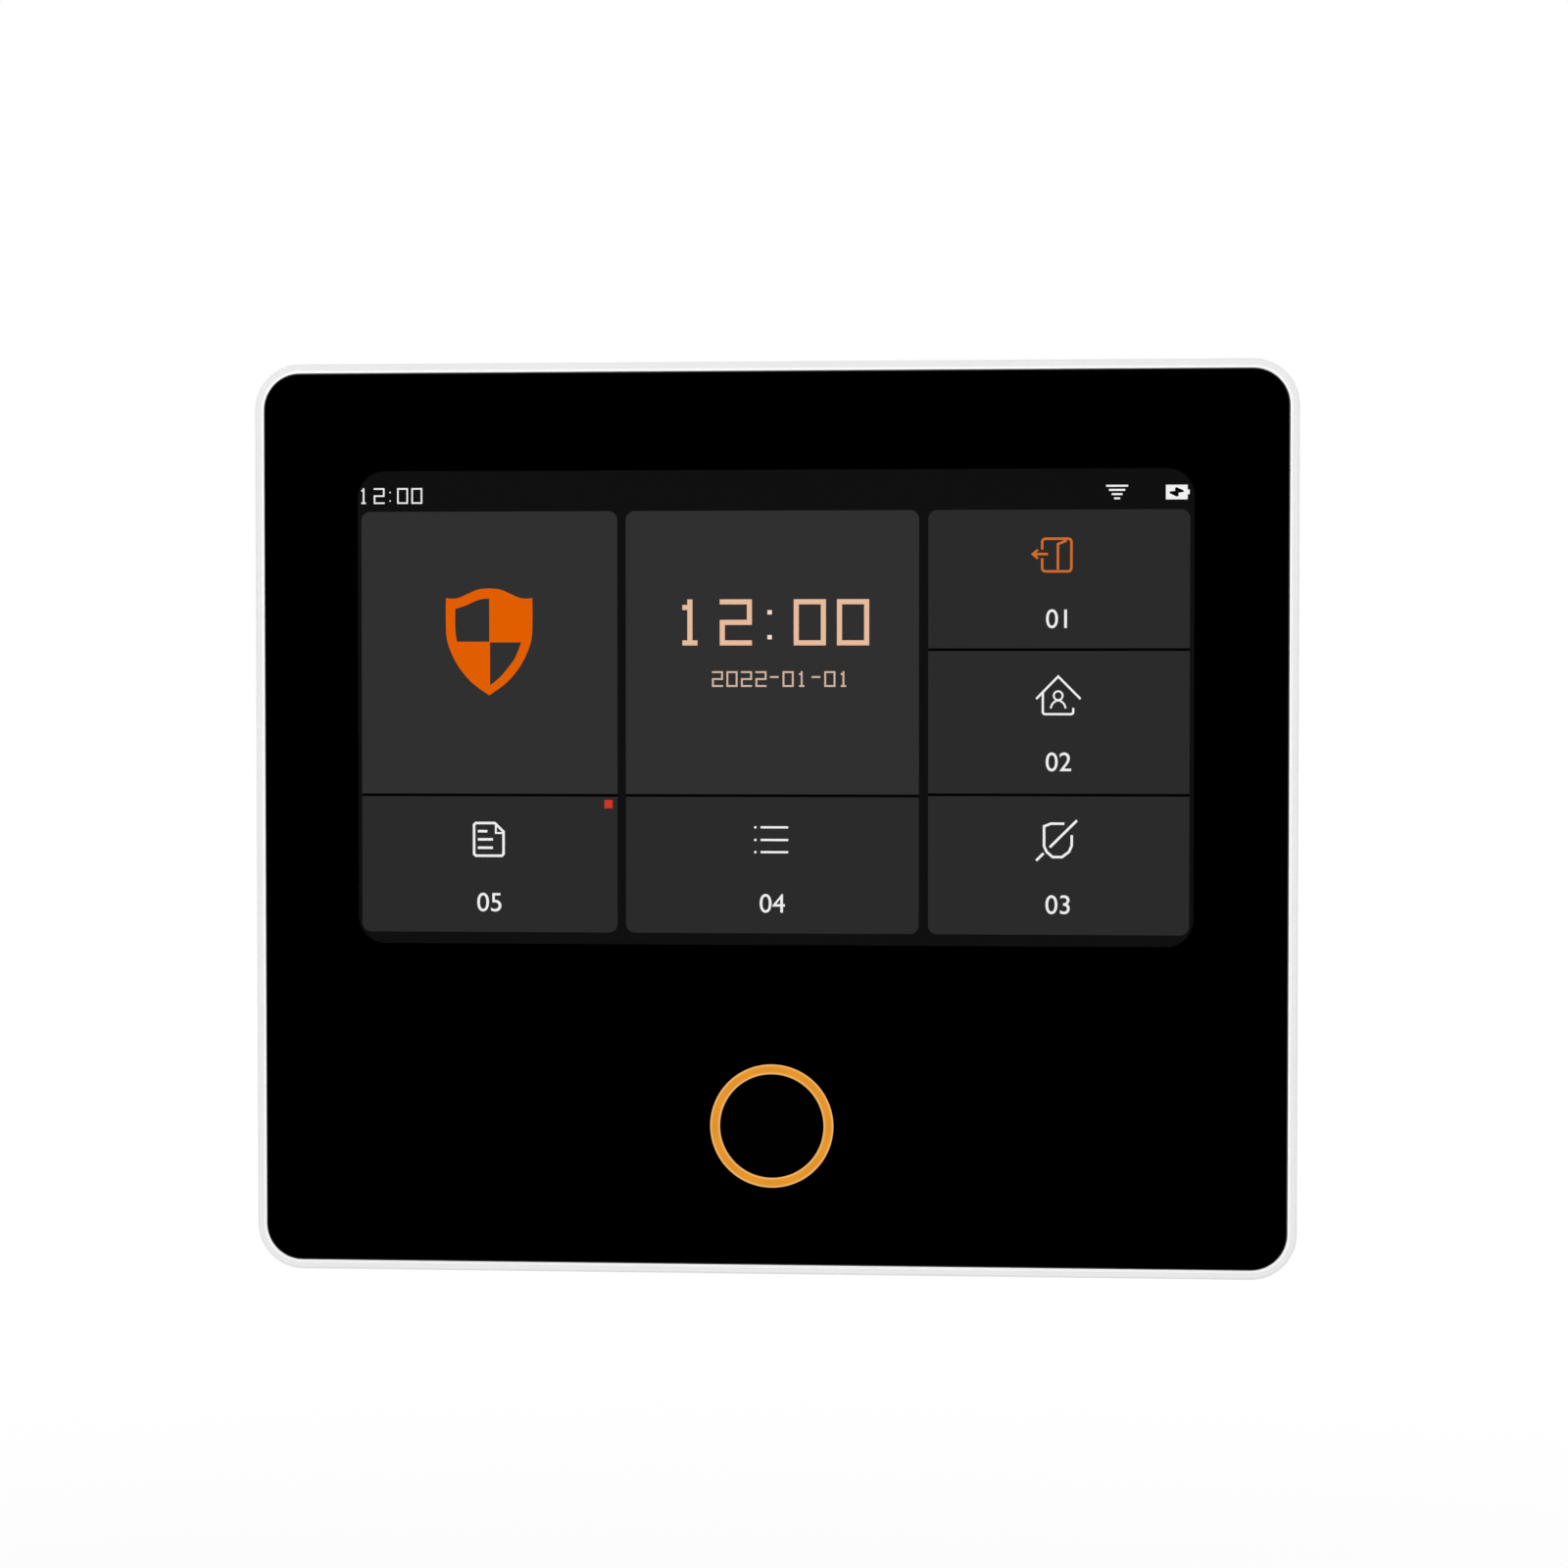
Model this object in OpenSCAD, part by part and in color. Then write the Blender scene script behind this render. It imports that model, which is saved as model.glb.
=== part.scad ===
// Wall-mounted alarm keypad panel: a touch screen and a lit ring key behind one black-bordered
// cover glass, in a two-part housing that hangs on a steel wall bracket.
// Every module is drawn in panel terms: x to the right, y up, z out of the wall from the wall's
// face. hang() turns that so that z is up, the wall is at y = 0 and the glass faces -y.

/* [Cover glass] */
// Width of the black border beside the lit area
border_side = 10.53; // [9.5:0.01:13]
// Height of the black border above the lit area
border_top = 11.07; // [10:0.01:14]
// Thickness of the cover glass
glass_t = 1.8; // [1.1:0.1:3]
// Corner radius of the cover glass
glass_r = 4.1; // [3:0.1:6]
// Ground bevel round the front edge of the glass
glass_bevel = 0.1; // [0.05:0.05:0.3]
// Gap between the glass and the rim round it
glass_gap = 0.1; // [0.05:0.05:0.3]
// Thickness of the black film behind the glass
mask_t = 0.1; // [0.05:0.05:0.2]
// Thickness of the tape that holds the glass
tape_t = 0.3; // [0.1:0.05:0.5]

/* [Housing] */
// Width of the rim that shows round the glass
rim_w = 1.0; // [0.8:0.1:2.5]
// How far the rim sits behind the face of the glass
rim_drop = 0.2; // [0:0.05:0.5]
// Bevel on both front edges of the rim
rim_bevel = 0.2; // [0.1:0.05:0.35]
// Thickness of the side walls
side_t = 2; // [1.6:0.1:2.6]
// Thickness of the deck that carries the glass
deck_t = 1.6; // [1.2:0.1:2.2]
// Thickness of the rear wall behind the bracket
rear_t = 2; // [1.5:0.1:3]
// Gap between the rear rim and the wall
wall_gap = 0.5; // [0.3:0.1:0.9]
// Bevel round the rear edge
rear_bevel = 1; // [0.5:0.1:1.5]
// Height and depth of the shadow line where the two halves meet
shadow_line = 0.4; // [0.2:0.1:0.6]
// Height of the lip that locates the rear cover
lip_h = 1.4; // [1:0.1:2]
// Thickness of the lip
lip_t = 0.8; // [0.6:0.1:1]

/* [Display] */
// Width of the lit area
active_w = 95.04; // [90:0.01:105]
// Height of the lit area
active_h = 53.86; // [50:0.01:60]
// Corner radius of the window in the black film
window_r = 3.1; // [1:0.1:5]
// Border of the display module beside the lit area
module_side = 5.23; // [4.5:0.01:6]
// Border of the display module above the lit area
module_top = 3.6; // [2.5:0.1:4]
// Border of the display module below the lit area
module_bottom = 9.74; // [8.5:0.01:11]
// Thickness of the backlight frame
backlight_t = 1.9; // [1.5:0.1:2.5]
// Thickness of the display's glass cell
cell_t = 1; // [0.8:0.1:1.4]
// Gap between the cell and the touch sensor
cell_gap = 0.2; // [0.15:0.05:0.4]
// Thickness of the touch sensor
touch_t = 0.7; // [0.4:0.1:1.1]

/* [Ring key] */
// Distance of the ring key's centre below the display module
ring_drop = 10.73; // [9.8:0.01:14]
// Distance of the ring key's centre above the glass's lower edge
ring_edge = 15.8; // [14:0.1:18]
// Outer diameter of the lit ring
ring_d = 14; // [12:0.1:15]
// Width of the lit ring
ring_w = 1.1; // [0.8:0.1:1.6]
// Travel of the key
key_travel = 0.4; // [0.2:0.05:0.5]
// Gap round the key cap
key_gap = 0.1; // [0.05:0.05:0.2]

/* [Board] */
// Thickness of the circuit board
board_t = 1.6; // [1:0.1:2]
// Depth behind the board for its parts and the battery
room_d = 6.7; // [6.5:0.1:9]
// Thickness of the foam strips between the board and the display
foam_t = 0.5; // [0.3:0.1:1]

/* [Battery and speaker] */
// Width of the battery
battery_w = 60; // [44:0.5:62]
// Height of the battery
battery_h = 36; // [26:0.5:38]
// Thickness of the battery
battery_t = 5; // [3:0.1:5.5]
// Height of the battery's centre above the panel's centre
battery_y = 24; // [22:0.5:25]
// Diameter of the siren speaker
speaker_d = 28; // [22:0.5:29]
// Height of the siren speaker
speaker_h = 5.9; // [5:0.1:6]
// Distance of the speaker below the panel's centre
speaker_drop = 22; // [20:0.5:24]

/* [Wall bracket] */
// Thickness of the bracket's sheet
bracket_t = 1.2; // [0.8:0.1:1.6]
// Corner radius of the bracket
bracket_r = 4; // [2:0.5:8]
// Distance between the wall screw holes, sideways
screw_pitch_x = 60; // [54:0.5:62]
// Distance between the wall screw holes, upwards
screw_pitch_y = 60; // [54:0.5:64]
// Diameter of the wall screw holes
screw_hole_d = 4.2; // [3.2:0.1:5]
// Width of each hook
hook_w = 8; // [5:0.5:9]
// Distance of each hook outside the wall screws
hook_out = 10; // [9:0.5:12]
// Distance between the upper and lower hooks
hook_pitch_y = 52; // [46:0.5:56]
// Height of each hook's upright tip
hook_tip = 5.2; // [3:0.1:6]
// Width of the steel outside the hooks
bracket_side = 4; // [3:0.5:6]
// Height of the steel below the sound window
bracket_strip = 3; // [2:0.5:5]

/* [Ports and tamper pin] */
// Distance of the power inlet left of the centre
inlet_left = 26; // [20:0.5:30]
// Distance of the power switch right of the centre
switch_right = 20; // [16:0.5:26]
// Travel of the power switch's knob
switch_travel = 2; // [1.5:0.1:2.5]
// Diameter of the tamper pin
pin_d = 4; // [3:0.1:4.5]
// Travel of the tamper pin out of the panel
pin_travel = 1.5; // [0.8:0.1:2]
// Gap between the tamper pin's contact and the wireless module
pin_room = 4.85; // [4:0.05:6]
// Distance of the tamper pin below the centre
pin_drop = 12; // [10:0.5:14]

/* [Hidden] */
$fn = 48;

// Clearances
run_gap = 0.3;    // between pieces that move past each other
fit_gap = 0.1;    // between pieces that locate each other
part_gap = 0.5;   // between pieces that only have to stay clear
cut = 1;          // how far a cutting shape runs past the face it cuts

// Levels, counted out from the wall
recess_z = bracket_t + run_gap;
floor_z = recess_z + rear_t;
board_back = floor_z + room_d;
board_front = board_back + board_t;
light_back = board_front + foam_t;
light_front = light_back + backlight_t;
cell_front = light_front + cell_t;
touch_back = cell_front + cell_gap;
mask_back = touch_back + touch_t;
glass_back = mask_back + mask_t;
glass_front = glass_back + glass_t;
deck_top = mask_back - tape_t;
deck_back = deck_top - deck_t;
rim_top = glass_front - rim_drop;
port_land = 0.8;
parting_z = board_back + port_land;

// Outlines
glass_w = active_w + 2 * border_side;
glass_h = border_top + active_h + module_bottom + ring_drop + ring_edge;
outer_w = glass_w + 2 * (rim_w + glass_gap);
outer_h = glass_h + 2 * (rim_w + glass_gap);
outer_r = glass_r + rim_w + glass_gap;
inner_w = outer_w - 2 * side_t;
inner_h = outer_h - 2 * side_t;
inner_r = outer_r - side_t;
active_y = glass_h / 2 - border_top - active_h / 2;
module_w = active_w + 2 * module_side;
module_h = module_top + active_h + module_bottom;
module_upper = active_y + active_h / 2 + module_top;
module_lower = module_upper - module_h;
module_y = (module_upper + module_lower) / 2;

// Screws and the bosses that take them
boss_r = 2.6;
boss_inset = 2.2;
boss_x = inner_w / 2 - boss_inset;
boss_y = inner_h / 2 - boss_inset;
cover_screw_d = 2;
cover_head_d = 4.3;
cover_head_h = 1.6;
cover_head_sink = 0.4;
cover_screw_end = deck_back - 0.4;
board_screw_d = 1.7;
board_head_d = 3.6;
board_head_h = 1.2;
board_screw_l = 3.6;
pilot_gap = 0.05;

// Circuit board and its posts
board_w = 2 * (boss_x - boss_r - part_gap);
board_h = inner_h - 2 * (fit_gap + lip_t + run_gap);
post_r = 2.2;
post_inset = [7, 8.5];
post_side_x = board_w / 2 - post_inset[0];
post_side_y = -board_h / 2 + post_inset[1];
post_upper_x = 30;
post_upper_y = module_upper + 2 * run_gap + post_r;
posts = [[-post_side_x, post_side_y], [post_side_x, post_side_y],
    [-post_upper_x, post_upper_y], [post_upper_x, post_upper_y]];
bosses = [for (sx = [-1, 1], sy = [-1, 1]) [sx * boss_x, sy * boss_y]];

// Display cell, touch sensor and their flexes
cell_margin = 0.9;
cell_ledge = 2.4;
cell_lower = module_lower + cell_ledge;
flex_t = 0.2;
flex_x = 32;
display_flex_w = 24;
touch_flex_w = 9;
flex_drop = 4;
flex_straight = 1.2;
flex_bend = 2.4;
connector_h = 1.2;
connector_d = 4;
connector_lap = 0.8;
flex_end_y = module_lower - flex_drop;
flex_end_z = board_front + connector_h / 2;

// Parts on the board
wifi_size = [18, 25.5];
wifi_back = board_back - 0.8;
wifi_can = [16, 17.5, 2.3];
wifi_edge = 2;
wifi_spot = [board_w / 2 - wifi_size[0] / 2 - wifi_edge, -2];
radio_size = [16, 20];
radio_chip = [7, 7, 1.2];
radio_back = board_back - 1;
radio_spot = [-wifi_spot[0], -4];
processor_size = [14, 14, 1.4];
memory_size = [6, 8, 1.1];
chips_gap = 2.8;
antenna_inset = 2;
antenna_l = 16;
supply_spot = [-inlet_left - 2, -board_h / 2 + 18];

// Ring key
key_y = module_lower - ring_drop;
ring_r = ring_d / 2;
ring_bore_r = ring_r - ring_w;
cap_r = ring_bore_r - key_gap;
guide_flange_r = ring_r + 2;
guide_flange_h = 1.3;
guide_back = deck_back - guide_flange_h;
cap_flange_r = cap_r + 0.6;
cap_flange_h = 0.7;
guide_step_z = deck_back + 0.2;
cap_flange_top = guide_step_z - run_gap;
cap_back = cap_flange_top - cap_flange_h;
cap_skin = 1.6;
cap_wall = 1.3;
cap_stem_r = 1.8;
switch_side = 6;
switch_plunger_r = 1.5;
switch_floor = 0.2;
switch_top = cap_back - key_travel - fit_gap;
led_count = 8;
led_r = ring_r + 0.8;
led_size = [1.2, 2, 0.8];

// Wall bracket: hooks, and the lift that frees them
hook_gap = 0.2;
lift = hook_tip + 2 * run_gap;
hook_reach = floor_z + run_gap + bracket_t;
hook_strip = hook_reach - bracket_t + hook_tip;
hook_low = 4;
hook_x = screw_pitch_x / 2 + hook_out;
hook_spots = [for (sx = [-1, 1], sy = [-1, 1])
    [sx * hook_x, sy * hook_pitch_y / 2 - hook_low]];
screw_spots = [for (sx = [-1, 1], sy = [-1, 1]) [sx * screw_pitch_x / 2, sy * screw_pitch_y / 2]];
web_h = 14;
window_edge = 7;
window_corner = 3;
upper_window_w = screw_pitch_x - 2 * window_edge - screw_hole_d;
sound_window_w = speaker_d + 4;
sound_edge = -speaker_drop - speaker_d / 2 - 2 * part_gap;
bracket_w = 2 * (hook_x + hook_w / 2 + bracket_side);
bracket_h = 2 * (bracket_strip - sound_edge);

// Tamper pin
pin_gap = 0.15;
pin_flange_r = pin_d / 2 + 1.2;
pin_flange_h = 0.8;
pin_flange_z = floor_z + run_gap + pin_travel;
pin_stem_r = 1;
contact_h = 0.3;
contact_r = pin_d / 2 + 1;
pin_spot = [wifi_spot[0] - wifi_size[0] / 2 - pin_room - contact_r, -pin_drop];
chips_spot = [pin_spot[0], -speaker_drop - processor_size[1] / 2 - chips_gap];
spring_wire = 0.35;
spring_r = 1.9;

// Power inlet and power switch, on the lower edge
inlet_w = 8.94;
inlet_h = 3.16;
inlet_l = 8;
inlet_wall = 0.3;
inlet_z = board_back - inlet_h / 2;
inlet_mouth = -outer_h / 2 + run_gap;
inlet_gap = 0.25;
switch_w = 8.6;
switch_d = 3.6;
switch_wall = 1;
switch_h = 3.5;
switch_z = board_back - switch_h / 2;
knob_w = 2;
knob_h = 1.6;
knob_proud = 0.3;
scoop_d = 0.8;
scoop_w = 9;
scoop_h = 3.4;

// Battery
tape_pad_t = 0.5;
tape_pad_edge = 6;
battery_r = 2;
battery_low = battery_y - battery_h / 2;
socket_w = 8;
socket_h = 4.6;
socket_l = 5.6;
socket_wall = 1;
socket_y = battery_low - 15.2;
plug_w = 6;
plug_h = 3;
plug_l = 6.6;
plug_x = -battery_w / 2 + socket_w;
plug_z = board_back - socket_h / 2;
plug_back = socket_y + socket_wall + fit_gap;
plug_front = plug_back + plug_l;
lead_d = 1;
lead_pitch = 2;
lead_bow = 1.6;

// Speaker
speaker_y = -speaker_drop;
speaker_r = speaker_d / 2;
magnet_h = 2.4;
magnet_inset = 6;
magnet_r = speaker_r - magnet_inset;
basket_h = speaker_h - magnet_h;
cone_t = 0.3;
basket_t = 0.8;
collar_t = 1;
collar_h = 2;

// Round bar swept along a path of points
function unit(v) = v / norm(v);
function heading(path, i) =
    unit(path[min(i + 1, len(path) - 1)] - path[max(i - 1, 0)]);

module wire(path, d, up = [0, 0, 1], sides = 8) {
    last = len(path) - 1;
    rings = [for (i = [0:last])
        let (t = heading(path, i), side = unit(cross(t, up)), top = cross(side, t))
        for (k = [0:sides - 1])
            let (a = 360 * k / sides)
            path[i] + d / 2 * (cos(a) * side + sin(a) * top)];
    walls = [for (i = [0:last - 1], k = [0:sides - 1])
        let (a = i * sides + k, b = i * sides + (k + 1) % sides)
        each [[a, b, a + sides], [b, b + sides, a + sides]]];
    polyhedron(rings, concat(
        [[for (k = [0:sides - 1]) sides - 1 - k]],
        walls,
        [[for (k = [0:sides - 1]) last * sides + k]]));
}

// A coil round z from z = 0, with its end turns wound flat
function coil(r, length, turns, steps = 14, flat = 0.7) = [for (k = [0:turns * steps])
    let (turn = k / steps, rise = (turn - flat) / (turns - 2 * flat))
    [r * cos(360 * turn), r * sin(360 * turn), length * min(max(rise, 0), 1)]];

// Quarter turn from one point to another, setting out along a unit vector
function quarter(from, to, out, steps = 6) = [for (k = [0:steps])
    let (a = 90 * k / steps, way = to - from, along = (way * out) * out)
    from + along * sin(a) + (way - along) * (1 - cos(a))];

// Outline of a strip of thickness t along a path in the plane
function edge_points(path, t) = [for (i = [0:len(path) - 1])
    let (dir = heading(path, i)) path[i] + t / 2 * [-dir[1], dir[0]]];
function reversed(points) = [for (i = [len(points) - 1:-1:0]) points[i]];
function strip(path, t) = concat(edge_points(path, t), reversed(edge_points(path, -t)));

// Flat shapes
module rounded_rect(w, h, r) {
    square([w, h - 2 * r], center = true);
    square([w - 2 * r, h], center = true);
    for (sx = [-1, 1], sy = [-1, 1])
        translate([sx * (w / 2 - r), sy * (h / 2 - r)]) circle(r);
}

module stadium(w, h) {
    square([w - h, h], center = true);
    for (sx = [-1, 1]) translate([sx * (w - h) / 2, 0]) circle(h / 2);
}

// A flat shape given thickness from one level to another
module slab(from, to) {
    translate([0, 0, from]) linear_extrude(to - from) children();
}

// A profile, as distance out from the outline and height, run round a rounded rectangle
module edge_run(w, h, r) {
    for (turn = [0:3]) {
        across = turn % 2 == 0 ? w : h;
        along = turn % 2 == 0 ? h : w;
        rotate([0, 0, 90 * turn]) {
            translate([across / 2, along / 2 - r, 0]) rotate([90, 0, 0])
                linear_extrude(along - 2 * r) children();
            translate([across / 2 - r, along / 2 - r, 0]) rotate_extrude(angle = 90)
                translate([r, 0]) children();
        }
    }
}

// Right-angled cutter for a bevel on an outer edge: side is 1 for a top edge, -1 for a bottom one
module bevel_cut(size, level, side) {
    polygon([[cut, level + side * cut], [-size - cut, level + side * cut],
        [cut, level - side * (size + cut)]]);
}

module bar(x_size, y_size, from, to) {
    translate([-x_size / 2, -y_size / 2, from]) cube([x_size, y_size, to - from]);
}

module disc(r, from, to) {
    translate([0, 0, from]) cylinder(r = r, h = to - from);
}

module at(spots) {
    for (spot = spots) translate([spot[0], spot[1], 0]) children();
}

module hang() {
    rotate([90, 0, 0]) children();
}

// Steel plate screwed to the wall, with four hooks lanced out of it
module wall_bracket() {
    color("silver") hang() {
        difference() {
            slab(0, bracket_t) bracket_outline();
            at(screw_spots) disc(screw_hole_d / 2, -cut, bracket_t + cut);
        }
        at(hook_spots) hook();
    }
}

module bracket_outline() {
    difference() {
        rounded_rect(bracket_w, bracket_h, bracket_r);
        upper_edge = bracket_h / 2 - window_edge;
        translate([0, (web_h / 2 + upper_edge) / 2])
            rounded_rect(upper_window_w, upper_edge - web_h / 2, window_corner);
        translate([0, (sound_edge - web_h / 2) / 2])
            rounded_rect(sound_window_w, -web_h / 2 - sound_edge, window_corner);
        translate([pin_spot[0], pin_spot[1] + lift / 2]) rotate(90)
            stadium(pin_d + 2 * part_gap + lift, pin_d + 2 * part_gap);
        at(hook_spots) translate([0, hook_strip / 2])
            square([hook_w + 2 * part_gap, hook_strip], center = true);
    }
}

// One hook: a stem out of the plate and a tip turned upwards. Its stem's top is at y = 0
module hook() {
    translate([-hook_w / 2, -bracket_t, 0]) cube([hook_w, bracket_t, hook_reach]);
    translate([-hook_w / 2, -bracket_t, hook_reach - bracket_t])
        cube([hook_w, bracket_t + hook_tip, bracket_t]);
}

// Rear half of the housing: a tub with a recess and slots for the bracket
module rear_cover() {
    color("whitesmoke") hang() {
        difference() {
            union() {
                rear_tub();
                at(bosses) disc(boss_r, floor_z - part_gap, parting_z);
                translate([0, speaker_y, 0]) speaker_collar();
                battery_fence();
                lip();
            }
            at(bosses) {
                disc(cover_head_d / 2 + pilot_gap * 2, 0, wall_gap + cover_head_sink + cover_head_h);
                disc(cover_screw_d / 2 + fit_gap, 0, parting_z + cut);
            }
            at(hook_spots) hook_slot();
            at([pin_spot]) disc(pin_d / 2 + pin_gap, 0, floor_z + cut);
            translate([0, speaker_y, 0]) sound_slots();
            inlet_opening();
            switch_opening();
        }
    }
}

module rear_tub() {
    difference() {
        slab(wall_gap, parting_z) rounded_rect(outer_w, outer_h, outer_r);
        slab(floor_z, parting_z + cut) rounded_rect(inner_w, inner_h, inner_r);
        translate([0, -lift / 2, 0]) slab(0, recess_z)
            rounded_rect(bracket_w + 2 * part_gap, bracket_h + 2 * part_gap + lift,
                bracket_r + part_gap);
        edge_run(outer_w, outer_h, outer_r) bevel_cut(rear_bevel, wall_gap, -1);
    }
}

// Lip inside the front housing's walls, broken where the bosses and posts are
module lip() {
    difference() {
        slab(parting_z - part_gap, parting_z + lip_h)
            rounded_rect(inner_w - 2 * fit_gap, inner_h - 2 * fit_gap, inner_r - fit_gap);
        slab(0, parting_z + lip_h + cut)
            rounded_rect(inner_w - 2 * (fit_gap + lip_t), inner_h - 2 * (fit_gap + lip_t),
                inner_r - fit_gap - lip_t);
        at(bosses) disc(boss_r + run_gap, parting_z, parting_z + lip_h + cut);
        at(posts) disc(post_r + run_gap, parting_z, parting_z + lip_h + cut);
    }
}

// Slot that drops over a hook. The slot's top lies just over the hook's stem
module hook_slot() {
    slot_h = hook_gap + bracket_t + run_gap + lift;
    translate([0, hook_gap - slot_h / 2, 0])
        bar(hook_w + 2 * part_gap, slot_h, 0, floor_z + cut);
}

module speaker_collar() {
    difference() {
        disc(speaker_r + fit_gap + collar_t, floor_z - part_gap, floor_z + collar_h);
        disc(speaker_r + fit_gap, floor_z - cut, floor_z + collar_h + cut);
    }
}

// Parallel slots over the speaker's cone, each as long as the circle allows
module sound_slots() {
    slot_w = 1.6;
    slot_pitch = 3.2;
    field_r = speaker_r - 4.5;
    for (i = [-2:2]) {
        length = 2 * sqrt(field_r * field_r - pow(i * slot_pitch, 2));
        translate([i * slot_pitch, 0, 0]) rotate([0, 0, 90])
            slab(0, floor_z + cut) stadium(length, slot_w);
    }
}

// Low walls on each side of the battery
module battery_fence() {
    fence_t = 1.2;
    fence_h = 2.5;
    fence_l = battery_h - 8;
    for (side = [-1, 1])
        translate([side * (battery_w / 2 + run_gap + fence_t / 2), battery_y, 0])
            bar(fence_t, fence_l, floor_z - part_gap, floor_z + fence_h);
}

module inlet_opening() {
    translate([-inlet_left, -outer_h / 2, inlet_z]) rotate([90, 0, 0])
        slab(-side_t - cut, cut) stadium(inlet_w + 2 * inlet_gap, inlet_h + 2 * inlet_gap);
}

// Slot for the switch's knob, in a shallow scoop for a fingertip
module switch_opening() {
    translate([switch_right, -outer_h / 2, switch_z]) rotate([90, 0, 0]) {
        slab(-side_t - cut, cut)
            square([knob_w + switch_travel + 2 * run_gap, knob_h + 2 * run_gap], center = true);
        slab(-scoop_d, cut) stadium(scoop_w, scoop_h);
    }
}

// Front half of the housing: the rim, the deck under the glass, and the screw bosses
module front_housing() {
    color("white") hang() {
        difference() {
            union() {
                front_walls();
                at(bosses) disc(boss_r, parting_z, deck_back + part_gap);
                at(posts) disc(post_r, board_front, deck_back + part_gap);
            }
            display_hole();
            translate([0, key_y, 0]) disc(ring_r + fit_gap, deck_back - cut, deck_top + cut);
            at(bosses) disc(cover_screw_d / 2 + pilot_gap, 0, cover_screw_end + fit_gap);
            at(posts) disc(board_screw_d / 2 + pilot_gap, 0, board_front + board_screw_l - board_t);
        }
    }
}

module front_walls() {
    difference() {
        slab(parting_z, rim_top) rounded_rect(outer_w, outer_h, outer_r);
        slab(0, deck_back) rounded_rect(inner_w, inner_h, inner_r);
        slab(deck_top, rim_top + cut) rounded_rect(glass_w + 2 * glass_gap, glass_h + 2 * glass_gap,
            glass_r + glass_gap);
        edge_run(outer_w, outer_h, outer_r) bevel_cut(rim_bevel, rim_top, 1);
        edge_run(glass_w + 2 * glass_gap, glass_h + 2 * glass_gap, glass_r + glass_gap)
            polygon([[-cut, rim_top + cut], [-cut, rim_top - rim_bevel], [0, rim_top - rim_bevel],
                [rim_bevel, rim_top], [rim_bevel, rim_top + cut]]);
        edge_run(outer_w, outer_h, outer_r)
            translate([-shadow_line, parting_z - cut]) square([cut + shadow_line, cut + shadow_line]);
    }
}

// Hole in the deck for the display module, with a notch for each flex
module display_hole() {
    hole_w = module_w + 2 * run_gap;
    hole_h = module_h + 2 * run_gap;
    translate([0, module_y, 0]) bar(hole_w, hole_h, deck_back - cut, deck_top + cut);
    for (flex = [[-flex_x, display_flex_w], [flex_x, touch_flex_w]])
        translate([flex[0], module_lower - flex_drop / 2, 0])
            bar(flex[1] + 2 * part_gap, flex_drop + 2 * run_gap, deck_back - cut, deck_top + cut);
}

// Clear glass over the whole front, with a hole for the ring
module cover_glass() {
    color([0.75, 0.82, 0.85, 0.35]) hang() difference() {
        slab(glass_back, glass_front) rounded_rect(glass_w, glass_h, glass_r);
        edge_run(glass_w, glass_h, glass_r) bevel_cut(glass_bevel, glass_front, 1);
        translate([0, key_y, 0]) disc(ring_r + fit_gap / 2, glass_back - cut, glass_front + cut);
    }
}

// Black film behind the glass, open over the lit area and the ring
module mask_film() {
    film_inset = 0.3;
    color("black") hang() difference() {
        slab(mask_back, glass_back) rounded_rect(glass_w - 2 * film_inset, glass_h - 2 * film_inset,
            glass_r - film_inset);
        translate([0, active_y, 0]) slab(mask_back - cut, glass_back + cut)
            rounded_rect(active_w, active_h, window_r);
        translate([0, key_y, 0]) disc(ring_r + fit_gap / 2, mask_back - cut, glass_back + cut);
    }
}

// Double-sided tape frame between the glass and the deck
module glass_tape() {
    tape_inset = 1;
    hole_gap = 1;
    color("dimgray") hang() difference() {
        slab(deck_top, mask_back) rounded_rect(glass_w - 2 * tape_inset, glass_h - 2 * tape_inset,
            glass_r - tape_inset);
        translate([0, module_y, 0])
            bar(module_w + 2 * hole_gap, module_h + 2 * hole_gap, deck_top - cut, mask_back + cut);
        translate([0, key_y, 0]) disc(ring_r + hole_gap, deck_top - cut, mask_back + cut);
    }
}

// Clear touch sensor bonded behind the film
module touch_sensor() {
    color([0.8, 0.85, 0.85, 0.4]) hang() translate([0, module_y, 0])
        bar(module_w - 2 * cell_margin, module_h - 2 * cell_margin, touch_back, mask_back);
}

// Ribbon from the front of the display, round in an easy bend to a connector on the board
module flex(x, w, from_y, from_z) {
    bend_y = module_lower - flex_straight;
    bend = [for (k = [0:8])
        let (s = k / 8, ease = s * s * (3 - 2 * s))
        [bend_y - flex_bend * s, from_z + (flex_end_z - from_z) * ease]];
    path = concat([[from_y, from_z]], bend, [[flex_end_y - connector_lap, flex_end_z]]);
    translate([x - w / 2, 0, 0]) rotate([90, 0, 90]) linear_extrude(w) polygon(strip(path, flex_t));
}

module touch_flex() {
    color("peru") hang() flex(flex_x, touch_flex_w, module_lower + cell_margin,
        touch_back + flex_t / 2);
}

module display_flex() {
    color("peru") hang() flex(-flex_x, display_flex_w, cell_lower, light_front + flex_t / 2);
}

// Glass cell of the display
module display_cell() {
    cell_upper = module_upper - cell_margin;
    color([0.08, 0.08, 0.1]) hang() translate([0, (cell_upper + cell_lower) / 2, 0])
        bar(module_w - 2 * cell_margin, cell_upper - cell_lower, light_front, cell_front);
}

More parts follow.
